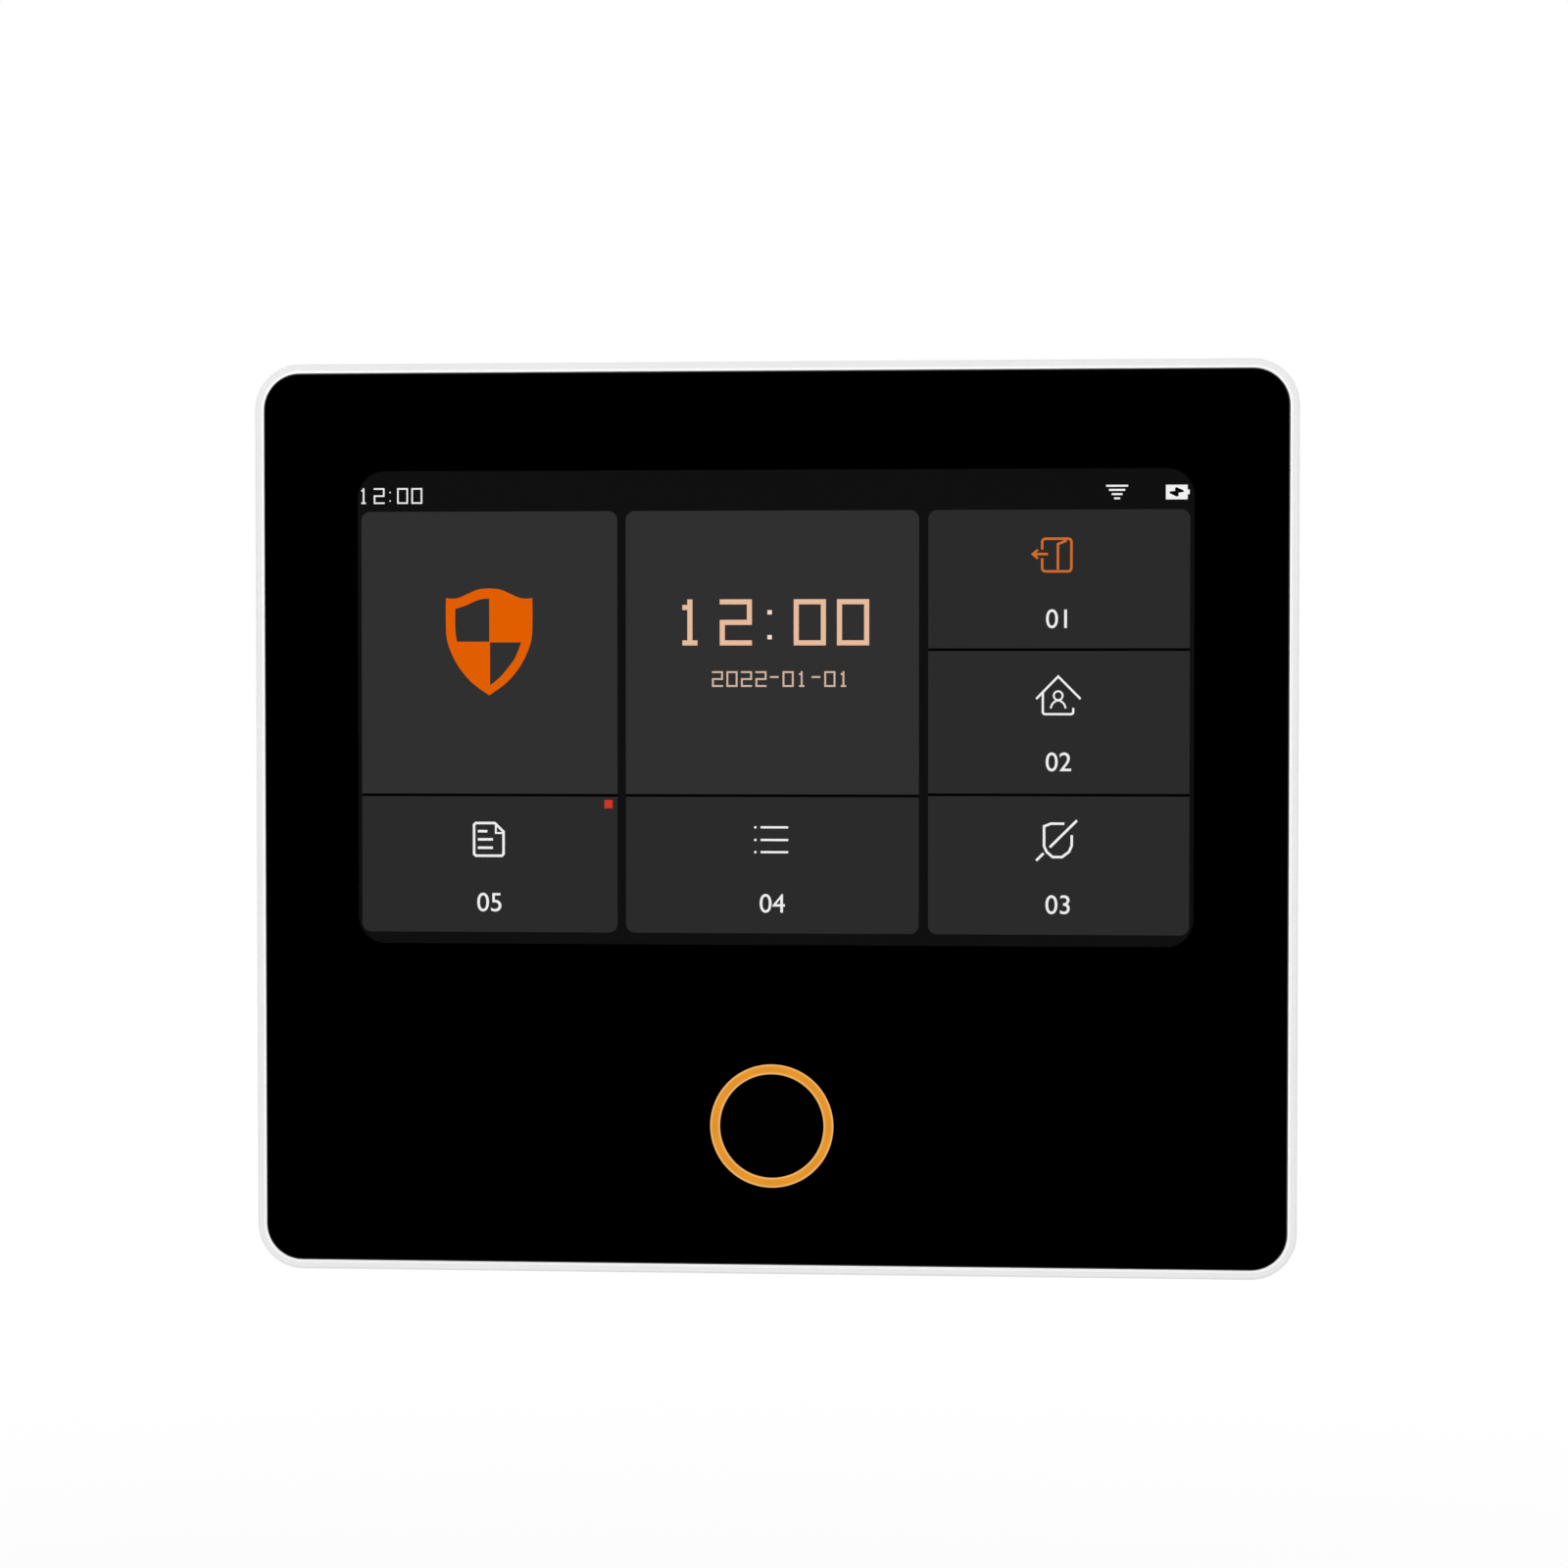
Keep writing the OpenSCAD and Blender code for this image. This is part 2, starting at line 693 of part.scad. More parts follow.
// Backlight frame of the display, with a raised lip round three sides of the cell
module display_backlight() {
    color("gainsboro") hang() translate([0, module_y, 0]) {
        bar(module_w, module_h, light_back, light_front);
        lip_h = cell_t / 2;
        lip_t = cell_margin - fit_gap;
        for (side = [-1, 1]) translate([side * (module_w - lip_t) / 2, 0, 0])
            bar(lip_t, module_h, light_front, light_front + lip_h);
        translate([0, (module_h - lip_t) / 2, 0])
            bar(module_w - 2 * lip_t, lip_t, light_front, light_front + lip_h);
    }
}

// Foam strips between the display and the board
module display_foam() {
    foam_w = 6;
    color("darkslategray") hang()
        for (side = [-1, 1]) translate([side * (board_w / 2 - foam_w), module_y, 0])
            bar(foam_w, module_h - 2 * foam_w, board_front, light_back);
}

// Orange light guide: the lit ring in front, and a flange under the deck behind
module ring_light_guide() {
    color("orange") hang() translate([0, key_y, 0]) difference() {
        union() {
            disc(ring_r, guide_back, glass_front);
            disc(guide_flange_r, guide_back, deck_back);
        }
        disc(ring_bore_r, guide_back - cut, glass_front + cut);
        disc(cap_flange_r + key_gap * 2, guide_back - cut, guide_step_z);
    }
}

module ring_leds() {
    color("lightyellow") hang() translate([0, key_y, 0])
        for (k = [0:led_count - 1]) rotate([0, 0, 360 * (k + 0.5) / led_count])
            translate([led_r, 0, 0])
                bar(led_size[0], led_size[1], board_front, board_front + led_size[2]);
}

// Black key cap inside the ring, with a flange that keeps it in
module ring_key() {
    color([0.05, 0.05, 0.05]) hang() translate([0, key_y, 0]) {
        difference() {
            union() {
                disc(cap_r, cap_back, glass_front);
                disc(cap_flange_r, cap_back, cap_flange_top);
            }
            disc(cap_r - cap_wall, cap_back - cut, glass_front - cap_skin);
        }
        disc(cap_stem_r, cap_back, glass_front - cap_skin + fit_gap);
    }
}

// Push switch on the board under the key
module key_switch_body() {
    color("dimgray") hang() translate([0, key_y, 0]) difference() {
        bar(switch_side, switch_side, board_front, switch_top);
        disc(switch_plunger_r + fit_gap, board_front + switch_floor, switch_top + cut);
    }
}

module key_switch_plunger() {
    color("black") hang() translate([0, key_y, 0])
        disc(switch_plunger_r, board_front + switch_floor + key_travel + fit_gap / 2, cap_back);
}

// Circuit board across the whole housing
module main_board() {
    color("darkgreen") hang() difference() {
        slab(board_back, board_front) square([board_w, board_h], center = true);
        at(posts) disc(board_screw_d / 2 + fit_gap * 2, board_back - cut, board_front + cut);
    }
}

module screw(shank_d, head_d, head_h, from, to) {
    socket_r = head_d / 5;
    difference() {
        union() {
            disc(head_d / 2, from - head_h, from);
            disc(shank_d / 2, from - fit_gap, to);
        }
        for (turn = [0, 90]) rotate([0, 0, turn])
            bar(2 * socket_r, socket_r / 2, from - head_h - cut, from - head_h / 2);
    }
}

module board_screws() {
    color("lightgray") hang() at(posts)
        screw(board_screw_d, board_head_d, board_head_h, board_back, board_back + board_screw_l);
}

module cover_screws() {
    color("lightgray") hang() at(bosses)
        screw(cover_screw_d, cover_head_d, cover_head_h,
            wall_gap + cover_head_sink + cover_head_h, cover_screw_end);
}

// Socket for a ribbon, open towards it
module flex_socket(x, w) {
    translate([x, flex_end_y - connector_d / 2, 0]) difference() {
        bar(w + 2, connector_d, board_front, board_front + connector_h);
        translate([0, connector_d / 2 - connector_lap, flex_end_z])
            bar(w + 2 * fit_gap, 2 * connector_lap, -flex_t / 2 - fit_gap, flex_t / 2 + fit_gap);
    }
}

module display_connector() {
    color("ivory") hang() flex_socket(-flex_x, display_flex_w);
}

module touch_connector() {
    color("ivory") hang() flex_socket(flex_x, touch_flex_w);
}

// Processor and memory on the back of the board
module logic_chips() {
    color([0.12, 0.12, 0.12]) hang() {
        at([chips_spot]) bar(processor_size[0], processor_size[1],
            board_back - processor_size[2], board_back);
        at([chips_spot + [processor_size[0], 0]]) bar(memory_size[0], memory_size[1],
            board_back - memory_size[2], board_back);
    }
}

// Wireless network module at the right edge of the board
module wifi_board() {
    color("midnightblue") hang() at([wifi_spot])
        bar(wifi_size[0], wifi_size[1], wifi_back, board_back);
}

// Its shield can, clear of the antenna area at the module's upper end
module wifi_shield() {
    can_low = 3;
    sheet_t = 0.2;
    color("silver") hang() at([wifi_spot]) translate([0, -can_low, 0]) difference() {
        bar(wifi_can[0], wifi_can[1], wifi_back - wifi_can[2], wifi_back);
        bar(wifi_can[0] - 2 * sheet_t, wifi_can[1] - 2 * sheet_t,
            wifi_back - wifi_can[2] + sheet_t, wifi_back + cut);
    }
}

// Sensor radio at the left edge of the board, with a coiled antenna above it
module radio_board() {
    chip_low = 2;
    color("darkblue") hang() at([radio_spot]) {
        bar(radio_size[0], radio_size[1], radio_back, board_back);
        translate([0, -chip_low, 0])
            bar(radio_chip[0], radio_chip[1], radio_back - radio_chip[2], radio_back);
    }
}

module radio_antenna() {
    coil_r = 2;
    wire_d = 0.6;
    stub = 0.3;
    rise = 2;
    foot = radio_spot + [antenna_inset - radio_size[0] / 2 - coil_r, radio_size[1] / 2 - stub];
    axis_z = board_back - part_gap - coil_r - wire_d / 2;
    tail = quarter([foot[0], foot[1], radio_back - stub], [foot[0], foot[1] + rise, axis_z],
        [0, 0, -1]);
    turns = [for (p = coil(coil_r, antenna_l, 9))
        [foot[0] + coil_r - p[0], foot[1] + rise + 2 * wire_d + p[2], axis_z - p[1]]];
    color("goldenrod") hang()
        wire(concat([[foot[0], foot[1], radio_back]], tail, turns), wire_d, [0, 1, 0.2], 6);
}

// Coil and capacitors of the power supply, beside the inlet
module power_inductor() {
    body = [7, 7, 3];
    color("dimgray") hang() at([supply_spot])
        slab(board_back - body[2], board_back) rounded_rect(body[0], body[1], 1);
}

module capacitors() {
    can_r = 3.1;
    can_h = 5.2;
    base_h = 0.8;
    first = supply_spot + [8.5, -1];
    pitch = 8;
    color("lightsteelblue") hang()
        for (k = [0, 1]) translate([first[0], first[1] - pitch * k, 0]) {
            disc(can_r, board_back - can_h, board_back - base_h);
            bar(2 * can_r, 2 * can_r, board_back - base_h, board_back);
        }
}

// Power inlet: a flat oval steel shell with a tongue, in an opening in the lower wall
module inlet_shell() {
    color("lightgray") hang() translate([-inlet_left, inlet_mouth, inlet_z]) rotate([90, 0, 0])
        difference() {
            slab(-inlet_l, 0) stadium(inlet_w, inlet_h);
            slab(-inlet_l + inlet_wall, cut)
                stadium(inlet_w - 2 * inlet_wall, inlet_h - 2 * inlet_wall);
        }
}

module inlet_tongue() {
    tongue = [6.7, 0.7];
    base_l = 1.2;
    tongue_sink = 0.8;
    back = -inlet_l + inlet_wall;
    color("black") hang() translate([-inlet_left, inlet_mouth, inlet_z]) rotate([90, 0, 0]) {
        slab(back, back + base_l)
            stadium(inlet_w - 2 * inlet_wall - fit_gap, inlet_h - 2 * inlet_wall - fit_gap);
        slab(back + base_l, -tongue_sink) square(tongue, center = true);
    }
}

// Slide switch on the board's lower edge
module power_switch_body() {
    color("silver") hang() translate([switch_right, -board_h / 2, switch_z]) rotate([90, 0, 0])
        difference() {
            slab(-switch_d, 0) square([switch_w, switch_h], center = true);
            slab(-switch_d + switch_wall, cut) square([knob_w + switch_travel + 2 * run_gap,
                knob_h + 2 * run_gap], center = true);
        }
}

module power_switch_knob() {
    inner_end = -board_h / 2 + switch_d - switch_wall - run_gap;
    outer_end = -outer_h / 2 + scoop_d - knob_proud;
    color("black") hang() translate([switch_right - switch_travel / 2, 0, switch_z])
        rotate([90, 0, 0]) slab(-inner_end, -outer_end) square([knob_w, knob_h], center = true);
}

// Flat battery taped to the rear cover
module battery() {
    color("lightslategray") hang() translate([0, battery_y, 0])
        slab(floor_z + tape_pad_t, floor_z + tape_pad_t + battery_t)
            rounded_rect(battery_w, battery_h, battery_r);
}

module battery_tape() {
    color("dimgray") hang() translate([0, battery_y, 0])
        bar(battery_w - 2 * tape_pad_edge, battery_h - 2 * tape_pad_edge, floor_z,
            floor_z + tape_pad_t);
}

// Plug in its socket on the board, and the two leads from it to the battery
module battery_socket() {
    color("ivory") hang() translate([plug_x, socket_y + socket_l / 2, 0]) difference() {
        bar(socket_w, socket_l, board_back - socket_h, board_back);
        translate([0, socket_wall, plug_z])
            bar(plug_w + 2 * fit_gap, socket_l, -plug_h / 2 - fit_gap, plug_h / 2 + fit_gap);
    }
}

module battery_plug() {
    color("white") hang() translate([plug_x, plug_back + plug_l / 2, plug_z])
        bar(plug_w, plug_l, -plug_h / 2, plug_h / 2);
}

module battery_leads() {
    lead_z = floor_z + tape_pad_t + battery_t / 2;
    gap = battery_low - plug_front;
    color("firebrick") hang() for (side = [-1, 1])
        wire([for (k = [0:10])
            let (s = min(max(k - 1, 0) / 8, 1), ease = s * s * (3 - 2 * s))
            [plug_x + side * (lead_pitch + lead_bow * (1 - cos(360 * s))) / 2,
                plug_front + gap * k / 10, plug_z + (lead_z - plug_z) * ease]], lead_d);
}

// Siren speaker: a steel basket, its cone facing the slots, and the magnet behind
module speaker_frame() {
    rim_r = speaker_r - 2.6;
    neck_r = speaker_r - 4.6;
    tab_w = 5;
    tab_l = 3.4;
    top_z = floor_z + basket_h;
    color("gray") hang() translate([0, speaker_y, 0]) {
        rotate_extrude() polygon([[rim_r, floor_z], [speaker_r, floor_z],
            [speaker_r, floor_z + basket_t], [rim_r + basket_t, floor_z + basket_t],
            [neck_r + basket_t, top_z], [0, top_z], [0, top_z - basket_t],
            [neck_r, top_z - basket_t], [rim_r, floor_z + basket_t]]);
        translate([neck_r + basket_t / 2, -tab_w / 2, top_z - basket_t]) cube([tab_l, tab_w, basket_t]);
    }
}

module speaker_cone() {
    edge_r = speaker_r - 2.7;
    neck_r = 4;
    lift_z = basket_h - basket_t - 0.6;
    color("darkslategray") hang() translate([0, speaker_y, 0])
        rotate_extrude() polygon([[0, floor_z + lift_z - 0.6], [neck_r, floor_z + lift_z - cone_t],
            [edge_r - 1.6, floor_z + fit_gap], [edge_r, floor_z + fit_gap],
            [edge_r, floor_z + fit_gap + cone_t], [edge_r - 1.4, floor_z + fit_gap + cone_t],
            [neck_r, floor_z + lift_z], [0, floor_z + lift_z - 0.3]]);
}

module speaker_magnet() {
    color("silver") hang() translate([0, speaker_y, 0])
        disc(magnet_r, floor_z + basket_h, floor_z + speaker_h);
}

// Leads from the basket's tab, out level and then square up to the board
module speaker_leads() {
    wire_d = 0.8;
    stub = 0.5;
    from_x = speaker_r - 2;
    from_z = floor_z + basket_h + wire_d / 2;
    to_x = from_x + 5;
    color("firebrick") hang() for (side = [-1, 1]) {
        lead_y = speaker_y + side * 1.5;
        wire(concat([[from_x - 2 * stub, lead_y, from_z]],
            quarter([from_x, lead_y, from_z], [to_x, lead_y, board_back - stub], [1, 0, 0]),
            [[to_x, lead_y, board_back]]), wire_d, [0, 1, 0]);
    }
}

// Tamper pin: it runs through the rear cover and the bracket's slot to the wall
module tamper_pin() {
    color("white") hang() at([pin_spot]) {
        disc(pin_d / 2, 0, pin_flange_z + fit_gap);
        disc(pin_flange_r, pin_flange_z, pin_flange_z + pin_flange_h);
        disc(pin_stem_r, pin_flange_z + pin_flange_h - fit_gap, board_back - contact_h - fit_gap);
    }
}

module tamper_spring() {
    seat = pin_flange_z + pin_flange_h + spring_wire / 2;
    length = board_back - contact_h - spring_wire / 2 - seat;
    color("silver") hang() translate([pin_spot[0], pin_spot[1], seat])
        wire(coil(spring_r, length, 5), spring_wire, [0, 0, 1], 6);
}

// Contact ring on the board that the pin's spring presses on
module tamper_contact() {
    color("gold") hang() at([pin_spot]) difference() {
        disc(contact_r, board_back - contact_h, board_back);
        disc(pin_stem_r + fit_gap, board_back - contact_h - cut, board_back + cut);
    }
}

wall_bracket();
rear_cover();
front_housing();
cover_glass();
mask_film();
glass_tape();
touch_sensor();
touch_flex();
display_cell();
display_backlight();
display_flex();
display_foam();
ring_light_guide();
ring_leds();
ring_key();
key_switch_body();
key_switch_plunger();
main_board();
board_screws();
cover_screws();
display_connector();
touch_connector();
logic_chips();
wifi_board();
wifi_shield();
radio_board();
radio_antenna();
power_inductor();
capacitors();
inlet_shell();
inlet_tongue();
power_switch_body();
power_switch_knob();
battery();
battery_tape();
battery_leads();
battery_plug();
battery_socket();
speaker_frame();
speaker_cone();
speaker_magnet();
speaker_leads();
tamper_pin();
tamper_spring();
tamper_contact();
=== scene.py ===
"""Alarm keypad panel: the looks of its pieces, laid on the CAD frame in the order of assembly."""

import math

import bmesh
import bpy
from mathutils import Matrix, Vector


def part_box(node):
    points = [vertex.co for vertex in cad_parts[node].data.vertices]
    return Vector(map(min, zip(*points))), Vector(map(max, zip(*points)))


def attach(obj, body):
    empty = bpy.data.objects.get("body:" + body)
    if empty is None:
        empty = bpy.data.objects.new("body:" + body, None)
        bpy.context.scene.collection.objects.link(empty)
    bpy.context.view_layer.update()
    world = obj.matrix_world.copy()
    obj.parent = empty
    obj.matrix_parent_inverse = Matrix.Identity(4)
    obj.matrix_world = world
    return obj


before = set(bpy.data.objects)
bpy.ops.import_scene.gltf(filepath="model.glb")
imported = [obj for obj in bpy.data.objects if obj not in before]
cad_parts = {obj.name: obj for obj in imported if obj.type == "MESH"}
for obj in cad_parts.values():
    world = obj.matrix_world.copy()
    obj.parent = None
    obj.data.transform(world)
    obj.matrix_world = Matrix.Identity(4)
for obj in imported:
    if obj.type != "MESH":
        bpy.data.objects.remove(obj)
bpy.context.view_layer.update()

# --- Camera ---------------------------------------------------------------------------------
# It stands 0.42 m in front of the glass, a little to the right of the panel's middle and a
# little above it, and looks at a point close to the middle.
mm = 0.001
glass_low, glass_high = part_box("cover_glass")
aim = Vector((1.4 * mm, glass_low.y, 4.0 * mm))
to_camera = Vector((0.0773, -0.9966, 0.0282))
camera_distance = 0.4228

lens = bpy.data.cameras.new("studio_camera")
lens.lens, lens.sensor_width = 85.867, 36
camera = bpy.data.objects.new("studio_camera", lens)
camera.location = aim + camera_distance * to_camera
camera.rotation_euler = to_camera.to_track_quat("Z", "Y").to_euler()
bpy.context.scene.collection.objects.link(camera)
bpy.context.scene.camera = camera
bpy.context.scene.view_settings.view_transform = "Standard"


# --- Studio ---------------------------------------------------------------------------------
# A white room with a pale floor below the panel, which hangs free. The room is dark in front
# of the glass, as behind a black card, so that polished black stays black from the front.
class Wire:
    """An output of a shader node. Sums on it add Math nodes, and node() adds any other."""

    def __init__(self, tree, socket=None):
        self.tree, self.socket = tree, socket

    def feed(self, node, values):
        """Sets sockets of a node, by name or number, to values or to wires."""
        for name, value in values.items():
            if isinstance(value, Wire):
                self.tree.links.new(value.socket, node.inputs[name])
            else:
                node.inputs[name].default_value = value

    def node(self, kind, settings=None, values=None, output=0):
        """Adds a node with these settings and inputs, and gives one of its outputs."""
        made = self.tree.nodes.new("ShaderNode" + kind)
        for name, value in (settings or {}).items():
            setattr(made, name, value)
        self.feed(made, values or {})
        return Wire(self.tree, made.outputs[output])

    def sum(self, operation, *values):
        return self.node("Math", {"operation": operation}, dict(enumerate(values)))

    def __add__(self, other):
        return self.sum("ADD", self, other)

    def __radd__(self, other):
        return self.sum("ADD", other, self)

    def __sub__(self, other):
        return self.sum("SUBTRACT", self, other)

    def __rsub__(self, other):
        return self.sum("SUBTRACT", other, self)

    def __mul__(self, other):
        return self.sum("MULTIPLY", self, other)

    def __rmul__(self, other):
        return self.sum("MULTIPLY", other, self)

    def __neg__(self):
        return self.sum("MULTIPLY", self, -1)

    def __abs__(self):
        return self.sum("ABSOLUTE", self)


def ramp(value, low, high):
    """0 below low, 1 above high, and an easy slope between them."""
    return value.node("MapRange", {"interpolation_type": "SMOOTHSTEP"},
                      {"Value": value, "From Min": low, "From Max": high})


card_full, card_end = -0.85, -0.3


def from_front(point):
    """0 for a place or way in front of the glass, as if a black card stood there, else 1."""
    unit = point.node("VectorMath", {"operation": "NORMALIZE"}, {0: point})
    return ramp(point.node("SeparateXYZ", {}, {0: unit}, "Y"), card_full, card_end)


def studio_white(start, point):
    """How much white a ray sees: all of it from the camera, and all but the black card in a
    mirror or through glass. The second wire is 1 for such a mirrored ray."""
    mirrored = start.sum("MAXIMUM", start.node("LightPath", output="Is Glossy Ray"),
                         start.node("LightPath", output="Is Transmission Ray"))
    return start.sum("MAXIMUM", start.node("LightPath", output="Is Camera Ray"),
                     mirrored * from_front(point)), mirrored


room_light = 0.62
world = bpy.data.worlds.new("studio_air")
world.use_nodes = True
bpy.context.scene.world = world
air = Wire(world.node_tree)
seen, mirrored = studio_white(air, air.node("TexCoord", output="Generated"))
direct = air.sum("MAXIMUM", mirrored, air.node("LightPath", output="Is Camera Ray"))
air.feed(world.node_tree.nodes["Background"],
         {"Color": (1, 1, 1, 1), "Strength": seen + (1 - direct) * room_light})


def lamp(name, place, size, power):
    """A soft square lamp aimed at the middle of the panel."""
    data = bpy.data.lights.new(name, "AREA")
    data.size, data.energy = size, power
    made = bpy.data.objects.new(name, data)
    made.location = place
    made.rotation_euler = Vector(place).to_track_quat("Z", "Y").to_euler()
    bpy.context.scene.collection.objects.link(made)


lamp("front_left_lamp", (-0.6, -1.0, 0.6), 0.7, 4.3)
lamp("front_right_lamp", (0.6, -1.0, 0.5), 0.7, 3.1)
lamp("rear_lamp", (0.7, 1.0, 0.6), 1.3, 4.2)

floor_drop, floor_reach = 0.2, 4
shade_near, shade_far, near_white = 0.25, 0.8, 0.8
floor_mesh = bpy.data.meshes.new("studio_floor")
floor_mesh.from_pydata([(x * floor_reach, y * floor_reach, -floor_drop)
                        for x, y in ((-1, -1), (1, -1), (1, 1), (-1, 1))], [], [(0, 1, 2, 3)])
floor = bpy.data.objects.new("studio_floor", floor_mesh)
bpy.context.scene.collection.objects.link(floor)
floor_paper = bpy.data.materials.new("floor_paper")
floor_paper.use_nodes = True
floor_mesh.materials.append(floor_paper)
paper = Wire(floor_paper.node_tree)
place = paper.node("TexCoord", output="Object")
off = paper.node("VectorMath", {"operation": "LENGTH"}, {0: place}, "Value")
whiteness = near_white + (1 - near_white) * ramp(off, shade_near, shade_far)
seen, mirrored = studio_white(paper, place)
bare = paper.node("BsdfDiffuse", {}, {"Color": (0.9, 0.9, 0.9, 1)})
dark = paper.node("Emission", {}, {"Color": (0, 0, 0, 1), "Strength": 0.0})
white = paper.node("Emission", {}, {"Color": (1, 1, 1, 1), "Strength": 1.0})
lit_paper = paper.node("MixShader", {}, {0: seen * whiteness, 1: bare, 2: white})
shown = paper.node("MixShader", {}, {0: mirrored * (1 - from_front(place)), 1: lit_paper, 2: dark})
below = paper.node("NewGeometry", output="Backfacing")
shown = paper.node("MixShader", {}, {0: below, 1: shown, 2: paper.node("BsdfTransparent")})
paper.feed(floor_paper.node_tree.nodes["Material Output"], {"Surface": shown})


# --- Wall bracket ---------------------------------------------------------------------------
# Sheet steel, zinc-plated in the coil, then blanked and lanced: a faint blue and straw blush
# over streaks the way the sheet was rolled, and duller cut edges. Its four hooks carry the panel.
def finish(name, steady):
    """A new material with these steady shader values, its shader, and a wire to start from."""
    made = bpy.data.materials.new(name)
    made.use_nodes = True
    shader = made.node_tree.nodes["Principled BSDF"]
    start = Wire(made.node_tree)
    start.feed(shader, steady)
    return made, shader, start


def place_in(start, stretch):
    """The point on the piece, divided by a size in metres along each axis."""
    return start.node("VectorMath", {"operation": "MULTIPLY"},
                      {0: start.node("TexCoord", output="Object"),
                       1: tuple(1 / size for size in stretch)})


def clouds(start, stretch, detail=2.0):
    """Soft noise from 0 to 1, with lumps of about these sizes."""
    return start.node("TexNoise", {}, {"Vector": place_in(start, stretch), "Scale": 1.0,
                                       "Detail": detail})


def tint(share, one, other):
    """From one colour to the other as share goes from 0 to 1. Each is a colour or a wire."""
    one, other = (c if isinstance(c, Wire) else (*c, 1) for c in (one, other))
    return share.node("Mix", {"data_type": "RGBA"}, {0: share, 6: one, 7: other}, 2)


def scaled(colour, by):
    return tuple(min(1, part * by) for part in colour)


def relief(height, depth):
    """The surface's direction where height, from 0 to 1, stands depth metres proud."""
    return height.node("Bump", {}, {"Height": height, "Distance": depth})


def metal(name, colour, roughness, grain):
    """Bare or plated metal: a grain drawn out along one axis, and clouds in its polish."""
    made, shader, start = finish(name, {"Metallic": 1.0})
    drawn = clouds(start, grain, 3.0)
    wide = clouds(start, (4 * mm,) * 3)
    start.feed(shader, {"Base Color": tint(wide, scaled(colour, 0.9), scaled(colour, 1.08)),
                        "Roughness": roughness - 0.05 + 0.1 * drawn,
                        "Normal": relief(drawn, 0.004 * mm)})
    return made


def dress(made, *names):
    """Gives CAD nodes this material."""
    for name in names:
        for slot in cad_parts[name].material_slots:
            slot.material = made


plating, shader, start = finish("zinc_plating", {"Metallic": 1.0})
blush = clouds(start, (22 * mm, 22 * mm, 16 * mm))
rolled = clouds(start, (9 * mm, 0.3 * mm, 0.1 * mm), 3.0)
streaks = ramp(clouds(start, (38 * mm, 3 * mm, 0.8 * mm), 4.0), 0.3, 0.7)
facing = start.node("SeparateXYZ", {}, {0: start.node("TexCoord", output="Normal")}, "Y")
sheared = ramp(abs(facing), 0.9, 0.3)
bright = tint(ramp(blush, 0.35, 0.65), (0.45, 0.465, 0.485), (0.5, 0.5, 0.492))
bright = tint(0.5 * streaks, bright, (0.4, 0.405, 0.41))
start.feed(shader, {"Base Color": tint(0.8 * sheared, bright, (0.27, 0.27, 0.27)),
                    "Roughness": 0.24 + 0.12 * rolled + 0.1 * streaks + 0.2 * sheared,
                    "Normal": relief(rolled, 0.012 * mm)})
dress(plating, "wall_bracket")


# --- Rear cover -----------------------------------------------------------------------------
# Moulded in light grey ABS with a fine spark-eroded skin. It carries the battery and the
# siren, and four screws pull it on to the front housing.
def moulded(name, colour, roughness, pore, depth, mottle=0.04):
    """Moulded plastic: a skin of fine pores over slow clouds of colour from the mould's flow."""
    made, shader, start = finish(name, {"Specular IOR Level": 0.3})
    skin = clouds(start, (pore,) * 3, 3.0)
    flow = clouds(start, (14 * mm, 14 * mm, 22 * mm))
    start.feed(shader, {
        "Base Color": tint(flow, scaled(colour, 1 - mottle), scaled(colour, 1 + mottle)),
        "Roughness": roughness - 0.06 + 0.12 * skin,
        "Normal": relief(skin, depth)})
    return made


dress(moulded("rear_shell", (0.74, 0.75, 0.76), 0.55, 0.25 * mm, 0.02 * mm), "rear_cover")

# --- Blank label ----------------------------------------------------------------------------
# Satin silver polyester with a thin printed frame and nothing in it, die-cut with round corners
# and stuck to the rear cover, where the cable window of the bracket shows it.
label_w, label_h, label_t, label_r = 32 * mm, 18 * mm, 0.08 * mm, 1.5 * mm
label_z, recess_y, glue_t = 20 * mm, -1.5 * mm, 0.01 * mm
frame_inset, frame_w = 1.2 * mm, 0.25 * mm


def rounded(w, h, r, steps=6):
    """Points across and up round an upright rounded rectangle about its centre."""
    return [(x * (w / 2 - r) + r * math.cos(turn), z * (h / 2 - r) + r * math.sin(turn))
            for x, z, quarter in ((1, 1, 0), (-1, 1, 1), (-1, -1, 2), (1, -1, 3))
            for turn in ((quarter + k / steps) * math.pi / 2 for k in range(steps + 1))]


def beyond(start, half_w, half_h, radius, up=0.0):
    """How far a point lies outside an upright rounded rectangle, or below 0 just inside it."""
    point = start.node("TexCoord", output="Object")
    off = (start.node("SeparateXYZ", {}, {0: point}, "X"),
           start.node("SeparateXYZ", {}, {0: point}, "Z") - up)
    out_x, out_z = (start.sum("MAXIMUM", abs(way) - (half - radius), 0)
                    for way, half in zip(off, (half_w, half_h)))
    return start.sum("SQRT", out_x * out_x + out_z * out_z) - radius


def as_mesh(name, sheet):
    """The mesh of a finished bmesh, with its faces turned outward."""
    bmesh.ops.recalc_face_normals(sheet, faces=sheet.faces)
    mesh = bpy.data.meshes.new(name)
    sheet.to_mesh(mesh)
    sheet.free()
    return mesh


def placed(name, mesh, made, body):
    """Puts a new piece in the scene, in its material, riding on a body."""
    piece = bpy.data.objects.new(name, mesh)
    bpy.context.scene.collection.objects.link(piece)
    mesh.materials.append(made)
    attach(piece, body)
    return piece


